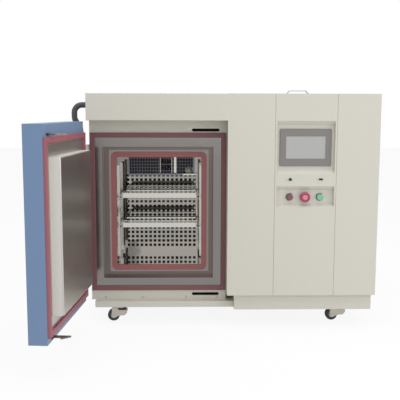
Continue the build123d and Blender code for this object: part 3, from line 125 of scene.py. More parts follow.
# The louvres beside the fan, from the fan's axis across and the grille's foot up
LOUVRES = 7
LOUVRE_PITCH = 9.5 * MM
LOUVRE_FOOT = 16 * MM
LOUVRE_ACROSS = 22 * MM
LOUVRE_SIZE = (50 * MM, 5 * MM, 1.2 * MM)
LOUVRE_TILT = math.radians(35)
STILE_ACROSS = 26 * MM
STILE_RISE = 45 * MM
STILE_SIZE = (2 * MM, 2 * MM, 68 * MM)

# The bright bar of the grille, from the fan's axis and the grille's foot, and the lamp's bracket
BAR_ACROSS = 63 * MM
BAR_RISE = 48 * MM
BAR_SIZE = (12 * MM, 2 * MM, 74 * MM)
LAMP_BRACKET_SIZE = (66 * MM, 14 * MM, 8 * MM)

# Softboxes: place, the point each faces, size and power in watts
SOFTBOXES = {
    "overhead_softbox": ((0.0, -0.6, 3.6), (0.0, 0.2, 0.4), 3.2, 60),
    "front_softbox": ((0.6, -4.4, 2.0), (0.1, 0.0, 0.5), 2.6, 20),
    "right_softbox": ((3.4, -2.0, 1.5), (-0.3, -0.3, 0.6), 2.2, 32),
}
FLOOR_HALF_WIDTH = 14.0
FLOOR_GLOW_SHARE = 0.9
AMBIENT_STRENGTH = 0.62
SEEN_STRENGTH = 1.0

# The photograph's viewpoint, from the case's left front edge, and its turns in degrees
VIEWPOINT = (0.389, -2.712, 0.879)
VIEW_HEADING = -1.23
VIEW_DIP = 7.32
VIEW_ROLL = 0.13


def middle(node):
    """The middle of a solid piece's box."""
    low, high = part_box(node)
    return (Vector(low) + Vector(high)) / 2


# Finishes


def linear(code):
    """A hex colour as the linear values that a shader takes."""
    values = [int(code[i : i + 2], 16) / 255 for i in (1, 3, 5)]
    return tuple(v / 12.92 if v <= 0.04045 else ((v + 0.055) / 1.055) ** 2.4 for v in values) + (1.0,)


def add_node(tree, kind, sockets=None, **settings):
    """One node: a socket takes a constant, or the output of another node."""
    made = tree.nodes.new(kind)
    for name, value in settings.items():
        setattr(made, name, value)
    for name, value in (sockets or {}).items():
        if isinstance(value, bpy.types.NodeSocket):
            tree.links.new(value, made.inputs[name])
        else:
            made.inputs[name].default_value = value
    return made


def pattern(tree, size, stretch=(1.0, 1.0, 1.0), detail=2.0):
    """Noise on Object coordinates whose features are about size metres wide."""
    place = add_node(tree, "ShaderNodeTexCoord")
    turned = add_node(
        tree,
        "ShaderNodeMapping",
        {"Vector": place.outputs["Object"], "Scale": stretch},
    )
    return add_node(
        tree,
        "ShaderNodeTexNoise",
        {"Vector": turned.outputs["Vector"], "Scale": 1 / size, "Detail": detail},
    )


def finish(name, color, roughness, metallic=0.0, bump=None, mottle=0.0, **extra):
    """A finish: bump is (feature size, height, stretch), both in metres."""
    material = bpy.data.materials.new(name)
    material.use_nodes = True
    tree = material.node_tree
    tree.nodes.clear()
    sockets = {
        "Base Color": linear(color),
        "Roughness": roughness,
        "Metallic": metallic,
    }
    sockets.update(extra)
    if bump:
        size, height, stretch = bump
        noise = pattern(tree, size, stretch)
        raised = add_node(
            tree,
            "ShaderNodeBump",
            {"Height": noise.outputs["Fac"], "Distance": height, "Strength": 1.0},
        )
        sockets["Normal"] = raised.outputs["Normal"]
    if mottle:
        noise = pattern(tree, 0.05, detail=4.0)
        spread = add_node(
            tree,
            "ShaderNodeMapRange",
            {
                "Value": noise.outputs["Fac"],
                "To Min": max(roughness - mottle, 0.02),
                "To Max": roughness + mottle,
            },
        )
        sockets["Roughness"] = spread.outputs["Result"]
    shader = add_node(tree, "ShaderNodeBsdfPrincipled", sockets)
    add_node(tree, "ShaderNodeOutputMaterial", {"Surface": shader.outputs["BSDF"]})
    return material


EVEN = (1.0, 1.0, 1.0)
ORANGE_PEEL = (2.5 * MM, 0.02 * MM, EVEN)
OIL_CANNING = (110 * MM, 0.5 * MM, EVEN)

# kind of finish: colour, roughness, metallic, bump, mottle, other sockets
FINISHES = {
    # powder coated steel: an even satin skin with a faint orange peel
    "powder_coat_cream": ("#CBC8BD", 0.48, 0.0, ORANGE_PEEL, 0.05, {}),
    "powder_coat_blue": ("#6F88AB", 0.42, 0.0, ORANGE_PEEL, 0.05, {}),
    # graphite: the real colour of the compressor and the fan's motor, and painted shade where it
    # darkens the evaporator and the sheet at the duct's back
    "graphite_coat_and_painted_shade": ("#2E2F36", 0.55, 0.0, ORANGE_PEEL, 0.05, {}),
    # stainless sheet, mirror polished: sharp reflections that sheet waviness bends
    "polished_stainless": ("#9A9792", 0.05, 1.0, OIL_CANNING, 0.02, {}),
    # the same sheet where it is folded into the door frame and less even
    "folded_stainless": ("#827E7C", 0.16, 1.0, OIL_CANNING, 0.05, {}),
    # stainless sheet, pressed into the door's plug: satin, with broad soft reflections
    "pressed_stainless": ("#C2BEB9", 0.36, 1.0, OIL_CANNING, 0.06, {}),
    # stainless sheet, coloured as a painted dark reflection on the ledge round the inner gasket: brown
    # and satin
    "painted_reflection_stainless": ("#6B615C", 0.22, 1.0, OIL_CANNING, 0.05, {}),
    # stainless sheet and wire, electropolished: bright, with soft reflections
    "electropolished_stainless": ("#C9C6C0", 0.24, 1.0, None, 0.06, {}),
    # pressed steel, zinc plated: a greyish, slightly cloudy metal
    "zinc_plated_steel": ("#B4AEA6", 0.34, 1.0, None, 0.10, {}),
    # steel wire, nickel plated: a mid grey sheen
    "nickel_plated_wire": ("#83828A", 0.36, 1.0, None, 0.06, {}),
    # steel flat bar, phosphated: a dull grey brown
    "phosphated_steel": ("#7E766E", 0.42, 1.0, None, 0.08, {}),
    # steel tube, chrome plated: sharp, cool reflections
    "chrome_plated_steel": ("#B4B6B9", 0.08, 1.0, None, 0.02, {}),
    # silicone rubber, extruded: matt and slightly waxy
    "extruded_silicone_maroon": ("#744A4E", 0.55, 0.0, None, 0.06, {}),
    "extruded_silicone_red": ("#8F5353", 0.50, 0.0, None, 0.06, {}),
    "extruded_silicone_rose": ("#9C5C66", 0.50, 0.0, None, 0.06, {}),
    # rubber, moulded: deep grey and dull
    "moulded_rubber_black": ("#333338", 0.62, 0.0, None, 0.08, {}),
    # polyamide hose, extruded: dark with a low sheen
    "extruded_hose_black": ("#4B4B50", 0.45, 0.0, None, 0.06, {}),
    # ABS, moulded: fine grain and a satin sheen
    "moulded_abs_grey": ("#7B7876", 0.42, 0.0, None, 0.05, {}),
    "moulded_abs_black": ("#26262A", 0.40, 0.0, None, 0.05, {}),
    # white: painted reflection, standing in for the bright sheen of the door plug's steel sides
    "white_painted_reflection": ("#DEDDD7", 0.38, 0.0, None, 0.05, {}),
    # polycarbonate caps, moulded: glossy and deeply coloured
    "moulded_cap_red": ("#A03450", 0.25, 0.0, None, 0.04, {"Coat Weight": 0.4}),
    "moulded_cap_pink": ("#CC6A85", 0.25, 0.0, None, 0.04, {"Coat Weight": 0.4}),
    "moulded_cap_dark_red": ("#7C4250", 0.25, 0.0, None, 0.04, {"Coat Weight": 0.4}),
    "moulded_cap_green": ("#72B998", 0.25, 0.0, None, 0.04, {"Coat Weight": 0.4}),
    "moulded_shoe_red": ("#4A2428", 0.40, 0.0, None, 0.05, {}),
    # touch panel of an unlit display: even pale grey under a satin film
    "unlit_display_film": ("#A9A9A8", 0.28, 0.0, None, 0.02, {"Coat Weight": 0.3}),
    # opal glass, blown: milky white and glossy
    "blown_opal_glass": ("#D5D3CE", 0.20, 0.0, None, 0.02, {}),
    # paint marks, printed: flat white
    "printed_white": ("#E9E7E4", 0.60, 0.0, None, 0.02, {}),
    # mineral wool, felted: dull brown grey
    "felted_mineral_wool": ("#4C4843", 0.95, 0.0, (6 * MM, 1.5 * MM, EVEN), 0.02, {}),
    # aluminium fins, rolled: pale and even
    "rolled_aluminium": ("#C3C5C8", 0.35, 1.0, None, 0.08, {}),
    # polyethylene tank, blow moulded: waxy white
    "blow_moulded_polyethylene": ("#DDE0DF", 0.45, 0.0, None, 0.05, {"Subsurface Weight": 0.1}),
}

NODE_FINISHES = {
    "powder_coat_cream": (
        "base_tray control_base header_cover chamber_fascia chamber_sides rear_panel "
        "control_panel_left control_column control_panel_right machine_cover data_ports "
        "hinge_brackets door_hinge_leaves"
    ),
    "powder_coat_blue": "door_shell",
    # the evaporator's fins are darkened here as painted shade of the air duct behind the grille
    "graphite_coat_and_painted_shade": "fan_wheel fan_motor evaporator compressor",
    "polished_stainless": "inner_liner air_baffle",
    "folded_stainless": "step_frame",
    "pressed_stainless": "door_inner_panel",
    "electropolished_stainless": (
        "shelf_rails shelf_lower shelf_upper heater cable_port_sleeve drain_spigot"
    ),
    "zinc_plated_steel": (
        "castor_plates castor_fork_front_left castor_fork_front_right "
        "castor_fork_rear_left castor_fork_rear_right"
    ),
    "nickel_plated_wire": "air_grille",
    "phosphated_steel": "latch_rod",
    "chrome_plated_steel": "roof_handle hinge_pins door_handle",
    "extruded_silicone_maroon": "outer_gasket",
    "extruded_silicone_red": "inner_gasket",
    "extruded_silicone_rose": "door_gasket",
    "moulded_rubber_black": (
        "cable_port_plug castor_wheel_front_left castor_wheel_front_right "
        "castor_wheel_rear_left castor_wheel_rear_right"
    ),
    "extruded_hose_black": "conduit conduit_elbow",
    "moulded_abs_grey": "screen_bezel",
    "moulded_abs_black": "button_bezels stop_stem condenser_fan",
    "moulded_cap_red": "stop_cap",
    "moulded_cap_dark_red": "off_button",
    "moulded_cap_green": "start_button",
    "unlit_display_film": "touch_screen",
    "blown_opal_glass": "chamber_lamp",
    "felted_mineral_wool": "insulation",
    "rolled_aluminium": "condenser",
    "blow_moulded_polyethylene": "water_tank",
}

made_finishes = {}


def finish_named(name):
    """A finish from the table, made once."""
    if name not in made_finishes:
        color, roughness, metallic, bump, mottle, extra = FINISHES[name]
        made_finishes[name] = finish(name, color, roughness, metallic, bump, mottle, **extra)
    return made_finishes[name]


# New pieces


def add_piece(name, mesh_work, finish_name, body):
    """Makes a piece from a finished bmesh, gives it its finish and what carries it."""
    bmesh.ops.recalc_face_normals(mesh_work, faces=mesh_work.faces)
    mesh = bpy.data.meshes.new(name)
    mesh_work.to_mesh(mesh)
    mesh_work.free()
    piece = bpy.data.objects.new(name, mesh)
    bpy.context.scene.collection.objects.link(piece)
    mesh.materials.append(finish_named(finish_name))
    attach(piece, body)
    return piece


def facing(direction, centre):
    """A transform that turns +Z to a direction and moves to a centre."""
    return Matrix.Translation(centre) @ Vector(direction).to_track_quat("Z", "Y").to_matrix().to_4x4()


def round_edges(mesh_work, edges, rounding, segments=2):
    """Rounds edges by a bevel."""
    bmesh.ops.bevel(
        mesh_work,
        geom=edges,
        offset=rounding,
        offset_type="OFFSET",
        affect="EDGES",
        segments=segments,
        profile=0.5,
        material=-1,
    )


def add_disc(mesh_work, radius, thickness, direction, centre, sides=24, rounding=0.0):
    """A round plate or screw head, with its outer edge rounded."""
    made = bmesh.ops.create_cone(
        mesh_work,
        cap_ends=True,
        segments=sides,
        radius1=radius,
        radius2=radius,
        depth=thickness,
        matrix=facing(direction, centre),
    )
    if rounding:
        verts = set(made["verts"])
        out = Vector(direction).normalized()
        level = Vector(centre).dot(out)
        rim = [
            edge
            for edge in mesh_work.edges
            if all(v in verts and v.co.dot(out) > level for v in edge.verts)
        ]
        round_edges(mesh_work, rim, rounding, segments=3)


def add_box(mesh_work, size, centre, rounding=0.0, turn=None):
    """A box with rounded edges, turned about its centre."""
    place = Matrix.Translation(centre) @ (turn or Matrix()) @ Matrix.Diagonal((*size, 1.0))
    made = bmesh.ops.create_cube(mesh_work, size=1.0, matrix=place)
    if rounding:
        verts = set(made["verts"])
        edges = [e for e in mesh_work.edges if all(v in verts for v in e.verts)]
        round_edges(mesh_work, edges, rounding)


def add_plate(mesh_work, outline, thickness, centre, along=(1, 0, 0), rounding=0.0):
    """A plate upright on Z, cut to an outline of (along, up) points about a centre."""
    run = Vector(along).normalized()
    side = run.cross(Vector((0, 0, 1)))
    verts = [
        mesh_work.verts.new(Vector(centre) + run * a + Vector((0, 0, up)) - side * thickness / 2)
        for a, up in outline
    ]
    face = mesh_work.faces.new(verts)
    grown = bmesh.ops.extrude_face_region(mesh_work, geom=[face])
    raised = [item for item in grown["geom"] if isinstance(item, bmesh.types.BMVert)]
    bmesh.ops.translate(mesh_work, vec=side * thickness, verts=raised)
    if rounding:
        whole = set(verts) | set(raised)
        edges = [e for e in mesh_work.edges if all(v in whole for v in e.verts)]
        round_edges(mesh_work, edges, rounding)


def add_ring(mesh_work, radius, thickness, direction, centre, sides=32, steps=8):
    """A round ring, spun from a circle of its section."""
    section = bmesh.ops.create_circle(
        mesh_work,
        cap_ends=False,
        radius=thickness,
        segments=steps,
        matrix=Matrix.Translation((radius, 0, 0)) @ Matrix.Rotation(math.pi / 2, 4, "X"),
    )
    edges = list({e for v in section["verts"] for e in v.link_edges})
    spun = bmesh.ops.spin(
        mesh_work,
        geom=section["verts"] + edges,
        cent=(0, 0, 0),
        axis=(0, 0, 1),
        angle=2 * math.pi,
        steps=sides,
        use_merge=True,
    )
    last = {item for item in spun["geom_last"] if isinstance(item, bmesh.types.BMVert)}
    reached = set(section["verts"]) | last
    grown = list(reached)
    while grown:
        vert = grown.pop()
        for edge in vert.link_edges:
            other = edge.other_vert(vert)
            if other not in reached:
                reached.add(other)
                grown.append(other)
    bmesh.ops.transform(mesh_work, matrix=facing(direction, centre), verts=list(reached))


class ChamberSizes(bpy.types.PropertyGroup):
    """Sizes of the small fittings."""

    screw_radius: bpy.props.FloatProperty(
        name="Screw radius",
        description="Radius of a panel screw's head",
        default=3.6 * MM,
        unit="LENGTH",
    )
    screw_height: bpy.props.FloatProperty(
        name="Screw height",
        description="How far a panel screw's head stands out",
        default=2.0 * MM,
        unit="LENGTH",
    )
    hose_rib: bpy.props.FloatProperty(
        name="Hose rib",
        description="Thickness of one rib of the conduit",
        default=1.3 * MM,
        unit="LENGTH",
    )
    hose_pitch: bpy.props.FloatProperty(
        name="Hose pitch",
        description="Distance from one rib of the conduit to the next",
        default=4.5 * MM,
        unit="LENGTH",
    )
    door_angle: bpy.props.FloatProperty(
        name="Door angle",
        description="How far the door stands open, in degrees",
        default=95.0,
    )
    plug_strip: bpy.props.FloatProperty(
        name="Plug strip",
        description="Thickness of the strip round the door's plug",
        default=0.8 * MM,
        unit="LENGTH",
    )
    lens: bpy.props.FloatProperty(
        name="Lens",
        description="Focal length of the camera on a 36 mm sensor, in millimetres",
        default=61.9,
    )
    backdrop: bpy.props.FloatVectorProperty(
        name="Backdrop",
        description="Colour of the background",
        default=(1.0, 1.0, 1.0),
        subtype="COLOR",
    )


class ChamberOperator:
    """What the chamber's operators share."""

    bl_options = {"REGISTER", "UNDO"}

    @property
    def sizes(self):
        """The sizes that the sidebar shows."""
        return bpy.context.scene.chamber_sizes


class CHAMBER_OT_finishes(ChamberOperator, bpy.types.Operator):
    """Give every solid piece its finish"""

    bl_idname = "chamber.finishes"
    bl_label = "Finishes"

    def execute(self, context):
        for name, nodes in NODE_FINISHES.items():
            for node in nodes.split():
                piece = bpy.data.objects[node]
                if not piece.material_slots:
                    piece.data.materials.append(finish_named(name))
                for slot in piece.material_slots:
                    slot.material = finish_named(name)
        return {"FINISHED"}


class CHAMBER_OT_panel_screws(ChamberOperator, bpy.types.Operator):
    """Screw the fascia, the port plates and the rear panel on"""

    bl_idname = "chamber.panel_screws"
    bl_label = "Panel screws"

    def execute(self, context):
        sizes = self.sizes
        out = (0, -1, 0)
        work = bmesh.new()
        for across in FASCIA_SCREWS_ACROSS:
            centre = (LEFT + across * MM, FASCIA_FRONT - sizes.screw_height / 2, FASCIA_SCREW_LEVEL)
            add_disc(work, sizes.screw_radius, sizes.screw_height, out, centre, rounding=SCREW_ROUNDING)
        add_piece("fascia_screws", work, "zinc_plated_steel", "cabinet")

        work = bmesh.new()
        low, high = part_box("data_ports")
        near, far = PORT_SCREW_INSETS
        for across in (low[0] + near, low[0] + far, high[0] - far, high[0] - near):
            centre = (across, low[1] - 0.4 * PORT_SCREW_HEIGHT, (low[2] + high[2]) / 2)
            size = (PORT_SCREW_RADIUS, PORT_SCREW_HEIGHT)
            add_disc(work, *size, out, centre, sides=16, rounding=0.4 * PORT_SCREW_HEIGHT)
        add_piece("port_screws", work, "zinc_plated_steel", "cabinet")

        work = bmesh.new()
        low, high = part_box("rear_panel")
        side, rise = REAR_SCREW_INSETS
        pitch = (high[0] - low[0] - 2 * side) / (REAR_SCREW_COLUMNS - 1)
        for across in range(REAR_SCREW_COLUMNS):
            for level in (low[2] + rise, high[2] - rise):
                centre = (low[0] + side + across * pitch, high[1] + sizes.screw_height / 2, level)
                size = (sizes.screw_radius, sizes.screw_height)
                add_disc(work, *size, (0, 1, 0), centre, rounding=SCREW_ROUNDING)
        add_piece("rear_screws", work, "zinc_plated_steel", "cabinet")
        return {"FINISHED"}


class CHAMBER_OT_hinge_screws(ChamberOperator, bpy.types.Operator):
    """Screw the hinge brackets to the side of the case"""

    bl_idname = "chamber.hinge_screws"
    bl_label = "Hinge screws"

    def execute(self, context):
        low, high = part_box("hinge_brackets")
        work = bmesh.new()
        for bottom in (low[2], high[2] - BRACKET_HEIGHT):
            for rise in BRACKET_SCREW_RISES:
                for back in BRACKET_SCREW_BACKS:
                    out = BRACKET_THICKNESS + BRACKET_SCREW_HEIGHT / 2
                    centre = (LEFT - out, FASCIA_FRONT + back * MM, bottom + rise * MM)
                    size = (BRACKET_SCREW_RADIUS, BRACKET_SCREW_HEIGHT)
                    add_disc(work, *size, (-1, 0, 0), centre, rounding=SCREW_ROUNDING)
        add_piece("hinge_screws", work, "zinc_plated_steel", "cabinet")
        return {"FINISHED"}


class CHAMBER_OT_conduit_ribs(ChamberOperator, bpy.types.Operator):
    """Rib the conduit between the header and the door"""

    bl_idname = "chamber.conduit_ribs"
    bl_label = "Conduit ribs"

    def execute(self, context):
        sizes = self.sizes
        low, high = (Vector(corner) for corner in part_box("conduit"))
        axis_y = (low.y + high.y) / 2
        radius = (high.y - low.y) / 2
        bend = CONDUIT_BEND
        out_x = low.x + radius
        exit_z = high.z - radius
        door_x = middle("hinge_pins").x
        path = []
        step = sizes.hose_pitch
        x = LEFT - 6 * MM
        while x > out_x + bend:
            path.append((Vector((x, axis_y, exit_z)), Vector((-1, 0, 0))))
            x -= step
        turns = int(bend * math.pi / 2 / step)
        for n in range(turns + 1):
            angle = math.pi / 2 * n / turns
            centre = Vector((out_x + bend, axis_y, exit_z - bend))
            place = centre + Vector((-math.sin(angle), 0, math.cos(angle))) * bend
            path.append((place, Vector((-math.cos(angle), 0, -math.sin(angle)))))
        z = exit_z - bend - step
        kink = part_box("chamber_fascia")[1][2] + CONDUIT_KINK_RISE
        while z > kink:
            path.append((Vector((out_x, axis_y, z)), Vector((0, 0, -1))))
            z -= step
        socket_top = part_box("conduit_elbow")[1][2]
        top = Vector((out_x, axis_y, kink))
        foot = Vector((door_x, axis_y, socket_top + CONDUIT_FOOT_RISE))
        steps = int((top - foot).length / step)
        for n in range(1, steps):
            share = n / steps
            ease = share * share * (3 - 2 * share)
            place = Vector((top.x + (foot.x - top.x) * ease, axis_y, top.z + (foot.z - top.z) * share))
            slope = 6 * share * (1 - share) * (foot.x - top.x)
            path.append((place, Vector((slope, 0, foot.z - top.z)).normalized()))
        work = bmesh.new()
        for place, direction in path:
            add_ring(work, radius - 0.4 * MM, sizes.hose_rib, direction, place, sides=24, steps=6)
        add_piece("conduit_ribs", work, "extruded_hose_black", "cabinet")

        work = bmesh.new()
        centre = (LEFT - CONDUIT_NUT_THICKNESS / 2, axis_y, exit_z)
        size = (radius + CONDUIT_NUT_REACH, CONDUIT_NUT_THICKNESS)
        add_disc(work, *size, (-1, 0, 0), centre, sides=6, rounding=1 * MM)
        add_piece("conduit_nut", work, "moulded_abs_black", "cabinet")
        return {"FINISHED"}


class CHAMBER_OT_button_marks(ChamberOperator, bpy.types.Operator):
    """Mark the stop button with turning arrows and ring the other buttons"""

    bl_idname = "chamber.button_marks"
    bl_label = "Button marks"

    def execute(self, context):
        low, high = (Vector(corner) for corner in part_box("stop_cap"))
        centre = Vector(((low.x + high.x) / 2, low.y - 0.15 * MM, (low.z + high.z) / 2))
        work = bmesh.new()
        add_disc(work, STOP_DISC_RADIUS, 0.6 * MM, (0, -1, 0), centre, rounding=0.2 * MM)
        add_piece("stop_disc", work, "moulded_cap_pink", "stop_mushroom")

        centre.y -= 0.4 * MM
        work = bmesh.new()
        for n in range(3):
            angle = math.radians(120 * n)
            for part in range(ARROW_PARTS):
                turn = angle + ARROW_STEP * part
                spot = centre + Vector((math.cos(turn), 0, math.sin(turn))) * ARROW_RADIUS
                swing = Matrix.Rotation(-turn, 4, "Y")
                add_box(work, ARROW_PART_SIZE, spot, turn=swing)
            turn = angle + ARROW_STEP * ARROW_PARTS
            spot = centre + Vector((math.cos(turn), 0, math.sin(turn))) * ARROW_RADIUS
            add_disc(work, ARROW_HEAD_RADIUS, ARROW_PART_SIZE[1], (0, -1, 0), spot, sides=3)
        add_piece("stop_arrows", work, "printed_white", "stop_mushroom")

        work = bmesh.new()
        for node in ("off_button", "start_button"):
            cap = middle(node)
            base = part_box("button_bezels")[0][1]
            add_ring(work, RIM_RADIUS, 1.2 * MM, (0, -1, 0), (cap.x, base, cap.z))
        add_piece("button_rims", work, "chrome_plated_steel", "cabinet")
        return {"FINISHED"}


class CHAMBER_OT_castor_fittings(ChamberOperator, bpy.types.Operator):
    """Fit hub caps and brake shoes to the castors"""

    bl_idname = "chamber.castor_fittings"
    bl_label = "Castor fittings"

    def execute(self, context):
        for corner in ("front_left", "front_right", "rear_left", "rear_right"):
            low, high = (Vector(c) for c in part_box(f"castor_wheel_{corner}"))
            hub = (low + high) / 2
            work = bmesh.new()
            for side, edge in ((-1, low.y), (1, high.y)):
                centre = (hub.x, edge + side * 0.2 * MM, hub.z)
                size = (HUB_CAP_RADIUS, HUB_CAP_THICKNESS)
                add_disc(work, *size, (0, side, 0), centre, rounding=0.4 * MM)
            add_piece(f"hub_caps_{corner}", work, "moulded_abs_grey", f"wheel_{corner}")
            low, high = (Vector(c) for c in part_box(f"castor_fork_{corner}"))
            axle = (hub.x, (low.y + high.y) / 2, hub.z)
            cheek = [(along * MM, up * MM) for along, up in CHEEK_OUTLINE]
            work = bmesh.new()
            for side in (-1, 1):
                centre = (axle[0], axle[1] + side * CHEEK_OFFSET, axle[2])
                add_plate(work, cheek, CHEEK_THICKNESS, centre)
                axle_end = (axle[0], axle[1] + side * AXLE_END_OFFSET, axle[2])
                size = (AXLE_END_RADIUS, AXLE_END_THICKNESS)
                add_disc(work, *size, (0, side, 0), axle_end, sides=16, rounding=0.5 * MM)
            carrier = f"swivel_{corner}"
            add_piece(f"fork_cheeks_{corner}", work, "zinc_plated_steel", carrier)
            work = bmesh.new()
            shoe = (axle[0] + SHOE_PLACE[0], axle[1], axle[2] + SHOE_PLACE[1])
            add_box(work, SHOE_SIZE, shoe, rounding=1.5 * MM)
            add_piece(f"brake_shoe_{corner}", work, "moulded_shoe_red", carrier)
        return {"FINISHED"}


class CHAMBER_OT_port_sockets(ChamberOperator, bpy.types.Operator):
    """Fit the two data sockets into their plates"""

    bl_idname = "chamber.port_sockets"
    bl_label = "Port sockets"

    def execute(self, context):
        low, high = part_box("data_ports")
        level = (low[2] + high[2]) / 2
        work = bmesh.new()
        places = ((ROUNDED_SOCKET, low[0] + SOCKET_INSET), (FLAT_SOCKET, high[0] - SOCKET_INSET))
        for outline, middle_x in places:
            centre = (middle_x, low[1] - 0.2 * MM, level)
            add_plate(work, [(a * MM, up * MM) for a, up in outline], 1.2 * MM, centre)
        add_piece("data_sockets", work, "moulded_abs_black", "cabinet")
        return {"FINISHED"}


class CHAMBER_OT_door_trim(ChamberOperator, bpy.types.Operator):
    """Line the edges of the door's plug with a white strip, a painted reflection of the white backdrop
    on the plug's sides
    """

    bl_idname = "chamber.door_trim"
    bl_label = "Door trim"

    def execute(self, context):
        sizes = self.sizes
        opened = math.radians(sizes.door_angle)
        along = Vector((math.cos(opened), -math.sin(opened), 0))
        inward = Vector((math.sin(opened), math.cos(opened), 0))
        axis = middle("hinge_pins")
        axis.z = 0
        low_z, high_z = PLUG_LEVELS
        turn = Matrix((along, inward, (0, 0, 1))).transposed().to_4x4()
        work = bmesh.new()
        depth = sizes.plug_strip
        deep = (PLUG_INWARD[0] + PLUG_INWARD[1]) / 2
        for reach, side in ((PLUG_ALONG[0], -1), (PLUG_ALONG[1], 1)):
            spot = axis + along * (reach + side * depth / 2) + inward * deep
            spot.z = (low_z + high_z) / 2
            add_box(work, (depth, PLUG_INWARD[1] - PLUG_INWARD[0], high_z - low_z), spot, turn=turn)
        for level, side in ((low_z, -1), (high_z, 1)):
            spot = axis + along * (PLUG_ALONG[0] + PLUG_ALONG[1]) / 2 + inward * deep
            spot.z = level + side * depth / 2
            size = (PLUG_ALONG[1] - PLUG_ALONG[0], PLUG_INWARD[1] - PLUG_INWARD[0], depth)
            add_box(work, size, spot, turn=turn)
        # The white strip round the plug is painted reflection: the plug's sides shine with the white
        # backdrop
        add_piece("plug_strip", work, "white_painted_reflection", "door")
        return {"FINISHED"}


class CHAMBER_OT_cavity_fittings(ChamberOperator, bpy.types.Operator):
    """Fit the ledge coloured as a painted dark reflection, a graphite sheet of painted shade at the
    duct's back, the louvres and the lamp's bracket
    """

    bl_idname = "chamber.cavity_fittings"
    bl_label = "Cavity fittings"

    def execute(self, context):
        # The ledge: a dark brown band of painted reflection round the inner gasket
        low, high = (Vector(c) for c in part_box("inner_gasket"))
        ledge_y = high.y - 0.5 * MM
        margin = LEDGE_MARGIN
        width = LEDGE_WIDTH
        left, right = low.x - margin, high.x + margin
        bottom, top = low.z - margin, high.z + margin
        work = bmesh.new()
        for x in (left - width / 2, right + width / 2):
            size = (width, LEDGE_THICKNESS, top - bottom + 2 * width)
            add_box(work, size, (x, ledge_y, (top + bottom) / 2))
        for z in (bottom - width / 2, top + width / 2):
            add_box(work, (right - left, LEDGE_THICKNESS, width), ((left + right) / 2, ledge_y, z))
        add_piece("frame_ledge", work, "painted_reflection_stainless", "cabinet")

        # A graphite sheet at the back of the air duct, open round the fan: painted shade, dark where
        # the duct lies in shadow behind the grille
        low, high = (Vector(c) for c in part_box("air_grille"))
        fan = middle("fan_wheel")
        heart = (low.x + high.x) / 2
        duct_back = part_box("evaporator")[1][1] - 2 * MM
        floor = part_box("evaporator")[1][2] + 3 * MM
        half = (high.x - low.x) / 2 - 4 * MM
        hole = 16 * MM
        work = bmesh.new()
        for x0, x1, z0, z1 in (
            (heart - half, fan.x - hole, floor, high.z),
            (fan.x + hole, heart + half, floor, high.z),
            (fan.x - hole, fan.x + hole, floor, fan.z - hole),
            (fan.x - hole, fan.x + hole, fan.z + hole, high.z),
        ):
            add_box(work, (x1 - x0, 1 * MM, z1 - z0), ((x0 + x1) / 2, duct_back, (z0 + z1) / 2))
        add_piece("duct_back", work, "graphite_coat_and_painted_shade", "cabinet")

        front = low.y - 1.2 * MM
        work = bmesh.new()
        across = fan.x + LOUVRE_ACROSS
        for n in range(LOUVRES):
            centre = (across, front, low.z + LOUVRE_FOOT + LOUVRE_PITCH * n)
            add_box(work, LOUVRE_SIZE, centre, turn=Matrix.Rotation(LOUVRE_TILT, 4, "X"))
        bar = (fan.x + BAR_ACROSS, front, low.z + BAR_RISE)
        add_box(work, BAR_SIZE, bar, rounding=0.6 * MM)
        for side in (-1, 1):
            add_box(work, STILE_SIZE, (across + side * STILE_ACROSS, front, low.z + STILE_RISE))
        add_piece("grille_louvres", work, "electropolished_stainless", "cabinet")

        low, high = (Vector(c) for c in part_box("chamber_lamp"))
        work = bmesh.new()
        place = ((low.x + high.x) / 2 + 4 * MM, low.y + 4 * MM, low.z - 1 * MM)
        add_box(work, LAMP_BRACKET_SIZE, place, rounding=1 * MM)
        add_piece("lamp_bracket", work, "electropolished_stainless", "cabinet")
        return {"FINISHED"}


